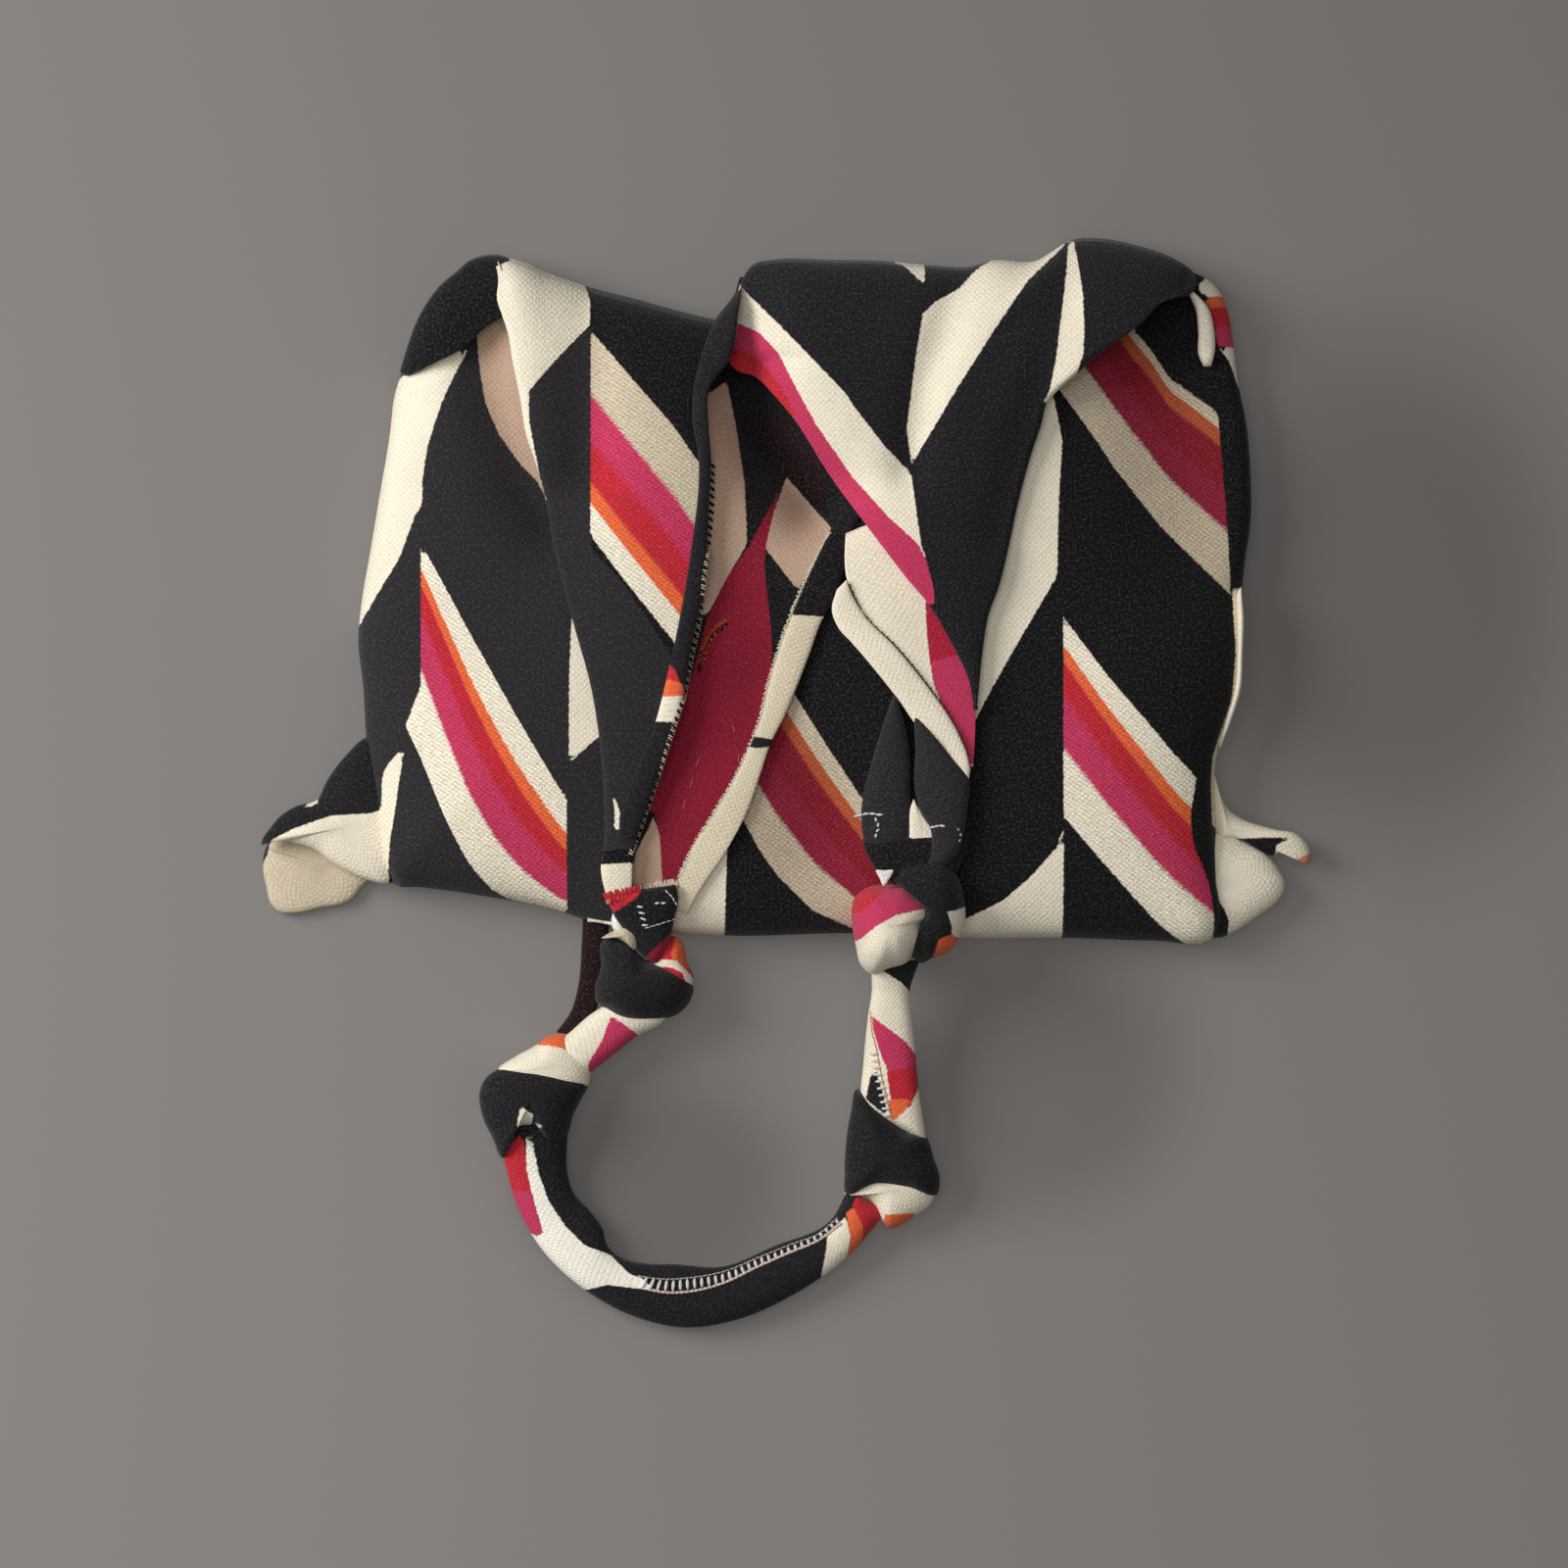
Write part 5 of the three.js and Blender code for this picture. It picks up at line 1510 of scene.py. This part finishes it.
chance = {"Min": -1, "Max": 1, "Seed": given["Seed"]}
chance = Value(step("FunctionNodeRandomValue", chance, data_type="FLOAT")["Value"])
turned = swing * given["Zigzag"] + given["Turn"] + chance * given["Loose"]
ahead = step("FunctionNodeAlignRotationToVector", {"Vector": spots["Tangent"]}, axis="X", pivot_axis="Z")
angle = step("FunctionNodeEulerToRotation", {"Euler": step("ShaderNodeCombineXYZ", {"Z": turned})[0]})
facing = {"Rotation": ahead[0], "Rotate By": angle[0]}
facing = step("FunctionNodeRotateRotation", facing, rotation_space="LOCAL")[0]
bar = step("GeometryNodeMeshUVSphere", {"Segments": 8, "Rings": 5, "Radius": 0.5})["Mesh"]
size = {"X": length, "Y": given["Thickness"], "Z": given["Thickness"]}
size = step("ShaderNodeCombineXYZ", size)[0]
bars = {"Points": spots["Points"], "Instance": bar, "Rotation": facing, "Scale": size}
bars = step("GeometryNodeInstanceOnPoints", bars)["Instances"]
joined = step("GeometryNodeRealizeInstances", {"Geometry": bars})["Geometry"]
soft = step("GeometryNodeSetShadeSmooth", {"Geometry": joined})["Geometry"]
dressed = step("GeometryNodeSetMaterial", {"Geometry": soft, "Material": given["Thread"]})["Geometry"]
join(sewing, dressed, sewing_out["Stitches"])
print("sewing tree:", len(sewing.nodes), "nodes")

# %% [markdown]
# A row is sewn on what lies under it: its line is drawn from above, and a ray straight down
# finds the highest cloth at each point. Thread is a twisted yarn with a dull shine, so its
# finish has a fine twist and a little change of tone.

# %% Thread and rows
THREAD_FINISH = {"Roughness": 0.75, "Specular IOR Level": 0.25}
# The darkest and the lightest tone of a thread, as shares of its colour, and the palest of all.
THREAD_DARK, THREAD_LIGHT, THREAD_PALEST = 0.55, 1.15, 0.9
TONE_SCALE, TWIST_SCALE = 700, 900
TWIST_BUMP = {"Strength": 0.4, "Distance": 0.2 * MM}
# The middle of a stitch lies this share of its thickness over the cloth.
STITCH_LIFT = 0.25
ABOVE_ALL = 0.2
DOWN = Vector((0, 0, -1))


def thread(colour):
    """A twisted thread of one colour."""
    name = colour + " thread"
    if name in bpy.data.materials:
        return bpy.data.materials[name]
    finish, tree, shader = new_finish(name, THREAD_FINISH)
    where = add(tree, "ShaderNodeTexCoord")["Object"]
    dark = [v * THREAD_DARK for v in YARN[colour][:3]] + [1]
    light = [min(v * THREAD_LIGHT, THREAD_PALEST) for v in YARN[colour][:3]] + [1]
    tone = blend(tree, "MIX", dark, light, noise(tree, where, TONE_SCALE))
    join(tree, tone, shader["Base Color"])
    twist = {"Vector": where, "Scale": TWIST_SCALE}
    twist = add(tree, "ShaderNodeTexWave", twist, bands_direction="DIAGONAL")["Fac"]
    join(tree, add(tree, "ShaderNodeBump", {**TWIST_BUMP, "Height": twist})[0], shader["Normal"])
    return finish


def surfaces(pieces):
    """A tree of faces for each piece, to find heights with."""
    trees = []
    for piece in pieces:
        corners = [v.co for v in piece.data.vertices]
        trees.append(BVHTree.FromPolygons(corners, [tuple(p.vertices) for p in piece.data.polygons]))
    return trees


def lie_on(line, trees, lift):
    """A line seen from above, laid on the highest cloth under it, in metres."""
    laid = []
    for x, y in smooth_path(line, LINE_POINTS) * MM:
        hits = [tree.ray_cast(Vector((x, y, ABOVE_ALL)), DOWN)[0] for tree in trees]
        top = max([hit.z for hit in hits if hit], default=0)
        laid.append((x, y, top + lift * MM))
    return laid


def sew(trees, name, line, colour, gap, long, thick, turn, loose=0, end=None, zigzag=0, seed=1):
    """One row of stitches along a line; lengths in millimetres, angles in degrees."""
    path = lie_on(line, trees, thick * STITCH_LIFT)
    mesh = bpy.data.meshes.new(name)
    mesh.from_pydata(path, [(i, i + 1) for i in range(len(path) - 1)], [])
    row = bpy.data.objects.new(name, mesh)
    bpy.context.scene.collection.objects.link(row)
    nodes = row.modifiers.new("sew", "NODES")
    nodes.node_group = sewing
    values = {
        "Step": gap * MM,
        "First Length": long * MM,
        "Last Length": (long if end is None else end) * MM,
        "Thickness": thick * MM,
        "Turn": math.radians(turn),
        "Zigzag": math.radians(zigzag),
        "Loose": math.radians(loose),
        "Seed": seed,
        "Thread": thread(colour),
    }
    for title, value in values.items():
        nodes[SOCKETS[title]] = value
    sewn = bpy.data.meshes.new_from_object(row.evaluated_get(bpy.context.evaluated_depsgraph_get()))
    row.modifiers.remove(nodes)
    row.data = sewn
    return row


def one_piece(name, rows):
    """Joins rows of stitches to one piece."""
    with bpy.context.temp_override(active_object=rows[0], selected_editable_objects=rows):
        bpy.ops.object.join()
    rows[0].name = name
    print(name, len(rows[0].data.polygons), "faces")
    return rows[0]


# %% Lines of the stitches
OVERLOCK = [
    (-29.5, 129.5), (-30, 112), (-31.5, 96), (-33, 84), (-35.5, 64), (-38, 53), (-41.5, 35),
    (-47.5, 16), (-53, -1), (-58.5, -17), (-63, -29.5),
]
RAW_EDGE = [
    (18, 102), (13.5, 93.5), (7.5, 81), (2, 68), (-3, 53.5), (-7, 40), (-10.5, 25.5), (-14.5, 15),
    (-20, 3), (-29, -12), (-38, -27), (-43, -37.5),
]
HEM_SEAM = [(26, 81), (32, 69), (45, 56), (58.5, 39.5), (67, 27.5), (74.5, 12)]
LOOSE_ORANGE = [(-34.5, 49.5), (-32.5, 57), (-29, 63), (-24, 66.5)]
LOOSE_GOLD = [(-33, 51), (-30.5, 58.5), (-26.5, 63)]
LOOSE_DARK = [(-35, 46.5), (-33, 54.5), (-29.5, 61), (-24.5, 65)]
FLOATS = [(-35.5, 9), (-38, 1), (-41, -8)]
FLOATS_UPPER = [(-21, 22.5), (-19.5, 17), (-19, 10.5)]
PLEAT_TACK = [(29.5, -13), (34, -12), (38.5, -12.5)]
PLEAT_TACK_DOWN = [(37, -14.5), (38, -17), (37, -21)]
PLEAT_TACK_RIGHT = [(60, -17.5), (62.5, -17), (64, -17)]
PLEAT_TACK_END = [(70.5, -18.5), (71.5, -21), (71, -23)]
LADDER = [
    (-57.5, -204.5), (-53, -205.5), (-37.5, -205), (-24.5, -202.5), (-11, -196.5), (2.5, -191),
    (14, -185.5), (21.5, -179.5),
]
LADDER_LOW = [
    (-55.5, -207.5), (-50, -208.5), (-37.5, -208), (-24.5, -204.5), (-11, -198), (2.5, -192),
    (14, -187), (22.5, -180.5),
]
LADDER_HIGH = [
    (-59.5, -202), (-53, -203), (-37.5, -202.5), (-24.5, -200), (-11, -194.5), (2.5, -189),
    (14, -184.5), (21, -178.5),
]
RUN_LADDER = [(36.5, -110.5), (38, -118), (40, -127), (42, -135.5)]
SLEEVE_LEFT = [(-73, -47), (-68.5, -45.5), (-63.5, -44.5), (-59, -43.5)]
SLEEVE_RIGHT = [(-59.5, -43), (-55, -42), (-49, -41), (-44, -40.5)]
RUN_SEAM = [(35, -93.5), (35.5, -101), (37, -107), (39.5, -120), (43, -134.5)]
SLEEVE_TACK = [(-59, -50), (-58, -53.5), (-57, -57.5)]
SLEEVE_TACK_LINE = [(-56, -58.5), (-51, -57), (-44.5, -55)]
SLEEVE_TACK_SPOT = [(-52, -48.5), (-49.5, -48.5)]
SLEEVE_TACK_END = [(-48, -44), (-46, -46), (-44.5, -48.5)]
print("lines of the overlock:", len(OVERLOCK), "points")

# %% Stitches of the bag
sew_bag = partial(sew, surfaces(bag_pieces))
sew_tips = partial(sew, surfaces(bag_pieces + strap_pieces))
bag_rows = [
    sew_bag("hem_overlock", OVERLOCK, "tan", 1.2, 3.6, 0.9, 75, loose=6, end=2.6),
    sew_bag("hem_overlock_dark", OVERLOCK, "dark", 3.1, 3.4, 1.4, 50, loose=6, end=2.6),
    sew_bag("front_hem_seam", HEM_SEAM, "brown", 1.5, 2.0, 0.8, 25, zigzag=25),
    sew_bag("raw_edge", RAW_EDGE, "cream", 0.9, 2.6, 0.55, 100, loose=55, seed=3),
    sew_bag("raw_edge_short", RAW_EDGE, "tan", 1.3, 1.8, 0.5, 80, loose=70, seed=5),
    sew_bag("loose_ends_orange", LOOSE_ORANGE, "rust", 0.9, 3.2, 0.9, 75, loose=60, seed=7),
    sew_bag("loose_ends_gold", LOOSE_GOLD, "orange", 2.4, 2.0, 0.8, 65, loose=80, seed=9),
    sew_bag("loose_ends_dark", LOOSE_DARK, "dark", 1.5, 3.0, 1.0, 60, loose=80, seed=8),
    sew_bag("floats", FLOATS, "blush", 8.0, 4.6, 0.24, 0, loose=8, seed=2),
    sew_bag("floats_upper", FLOATS_UPPER, "blush", 6.5, 4.0, 0.24, 0, loose=8, seed=4),
    sew_tips("pleat_tack", PLEAT_TACK, "thread", 2.6, 3.2, 1.1, 0, loose=6),
    sew_tips("pleat_tack_down", PLEAT_TACK_DOWN, "thread", 2.1, 2.0, 1.0, 0, loose=35),
    sew_tips("pleat_tack_right", PLEAT_TACK_RIGHT, "thread", 2.0, 2.6, 1.0, 0, loose=10),
    sew_tips("pleat_tack_end", PLEAT_TACK_END, "blush", 1.8, 1.6, 0.9, 20, loose=40),
]
print("rows on the bag:", len(bag_rows))

# %% Stitches of the strap
strap_rows = [
    sew_tips("loop_ladder", LADDER, "thread", 2.9, 5.6, 1.5, 82, loose=5, end=2.0),
    sew_tips("loop_ladder_high", LADDER_HIGH, "tan", 1.9, 2.2, 0.6, 0, loose=12),
    sew_tips("loop_ladder_low", LADDER_LOW, "shell", 1.9, 2.6, 1.3, 0, loose=8),
    sew_tips("run_ladder", RUN_LADDER, "thread", 2.7, 4.2, 1.3, 80, loose=8),
    sew_tips("run_seam", RUN_SEAM, "salmon", 1.7, 2.0, 0.6, 0, loose=10),
    sew_tips("sleeve_fringe_red", SLEEVE_LEFT, "red", 0.9, 6.4, 1.0, 95, loose=22, seed=11),
    sew_tips("sleeve_fringe_orange", SLEEVE_LEFT, "salmon", 1.7, 5.2, 0.8, 85, loose=30, seed=12),
    sew_tips("sleeve_fringe_cream", SLEEVE_RIGHT, "cream", 1.0, 5.0, 0.9, 85, loose=26, seed=13),
    sew_tips("sleeve_fringe_warm", SLEEVE_RIGHT, "salmon", 1.8, 4.4, 0.9, 95, loose=30, seed=14),
    sew_tips("sleeve_tack", SLEEVE_TACK, "thread", 2.5, 3.0, 1.0, 75, loose=25),
    sew_tips("sleeve_tack_line", SLEEVE_TACK_LINE, "thread", 2.2, 2.6, 0.45, 0, loose=8),
    sew_tips("sleeve_tack_spot", SLEEVE_TACK_SPOT, "thread", 1.6, 2.2, 1.0, 10),
    sew_tips("sleeve_tack_end", SLEEVE_TACK_END, "thread", 1.9, 2.3, 0.6, 0, loose=10),
]
bag_pieces.append(one_piece("bag_thread", bag_rows))
strap_pieces.append(one_piece("strap_thread", strap_rows))

# %% [markdown]
# The stage is a plain floor under soft light that comes from the left, as from a window. The
# floor's colour carries painted shade: it darkens away from the window, and painted shadows lie
# behind the bag and the strap. The camera looks straight down, so the top of the picture is the
# top of the bag.

# %% Floor
FLOOR_FINISH = {
    "Roughness": 0.9,
    "Specular IOR Level": 0.1,
    "Emission Color": (1, 0.95, 0.92, 1),
}
FLOOR_COLOUR = linear(115, 111, 108)
FLOOR_SIZE, FLOOR_GLOW = 8, 0.06
# The floor's tone in the middle, its change a metre to the right and up, and its range; the change is
# painted light, falling off away from the window.
FLOOR_TONE, FLOOR_SLOPE, FLOOR_RANGE = 0.985, (-0.2, -0.285), (0.83, 1.14)
# Each painted shadow on the floor is its middle, its reach and its depth.
FLOOR_SHADES = (
    ((0.252, 0.076), (0.108, 0.152), 0.34),
    ((0.106, -0.118), (0.085, 0.085), 0.28),
    ((-0.05, -0.165), (0.08, 0.07), 0.35),
)
SHADE_EDGE = 1.5


def floor_tone(tree):
    """How light the floor is from place to place, as painted light and painted shadows."""
    x, y, _ = axes(tree, add(tree, "ShaderNodeNewGeometry")["Position"])
    tone = x * FLOOR_SLOPE[0] + y * FLOOR_SLOPE[1] + FLOOR_TONE
    tone = tone.most(FLOOR_RANGE[0]).least(FLOOR_RANGE[1])
    for spot, reach, depth in FLOOR_SHADES:
        across, along = (x - spot[0]) / reach[0], (y - spot[1]) / reach[1]
        apart = (across * across + along * along) ** 0.5
        near = ((1 - apart).most(0) * SHADE_EDGE).least(1)
        eased = near * near * (3 - near * 2)
        tone = tone * (1 - eased * depth)
    return tone


bpy.ops.mesh.primitive_plane_add(size=FLOOR_SIZE, location=(0, 0, 0))
floor = bpy.context.object
floor.name = "floor"
paper, tree, coat = new_finish("floor paper", FLOOR_FINISH)
tone = floor_tone(tree)
join(tree, blend(tree, "MULTIPLY", FLOOR_COLOUR, tone), coat["Base Color"])
seen = Value(add(tree, "ShaderNodeLightPath")["Is Camera Ray"])
join(tree, seen * FLOOR_GLOW * tone, coat["Emission Strength"])
floor.data.materials.append(paper)
print("floor:", paper.name)

# %% Light and camera
CAMERA_PLACE = (-0.0004, 0, 3.03)
SENSOR = 36
# The picture is this wide at this distance from the camera, in metres.
PICTURE_WIDTH, PICTURE_AWAY = 0.64, 3.0
ROOM_COLOUR, ROOM_LIGHT = (1, 0.985, 0.97, 1), 0.18
# Each lamp is its place, its size and its power.
LAMPS = {"window": ((-1.5, 0.6, 1.2), 1.0, 34), "ceiling": ((-0.3, 0.2, 2.4), 1.4, 15)}


def soft_light(name, spot, size, power):
    """A large square light that points at the bag."""
    lamp = bpy.data.lights.new(name, "AREA")
    lamp.size = size
    lamp.energy = power
    holder = bpy.data.objects.new(name, lamp)
    holder.location = spot
    holder.rotation_euler = (-Vector(spot)).to_track_quat("-Z", "Y").to_euler()
    bpy.context.scene.collection.objects.link(holder)


for name, lamp in LAMPS.items():
    soft_light(name, *lamp)
world = bpy.data.worlds.new("room")
world.use_nodes = True
world.node_tree.nodes["Background"].inputs["Color"].default_value = ROOM_COLOUR
world.node_tree.nodes["Background"].inputs["Strength"].default_value = ROOM_LIGHT
scene = bpy.context.scene
scene.world = world
scene.view_settings.view_transform = "Standard"
camera = bpy.data.objects.new("camera", bpy.data.cameras.new("camera"))
camera.location = CAMERA_PLACE
camera.data.sensor_width = SENSOR
camera.data.lens = SENSOR * PICTURE_AWAY / PICTURE_WIDTH
scene.collection.objects.link(camera)
scene.camera = camera
print("camera:", CAMERA_PLACE)

# %% [markdown]
# Last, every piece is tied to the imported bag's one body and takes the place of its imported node.

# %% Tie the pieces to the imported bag
for piece in bag_pieces:
    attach(piece, "root")
    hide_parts("bag_body")
for piece in strap_pieces:
    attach(piece, "root")
    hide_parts("handle_strap")
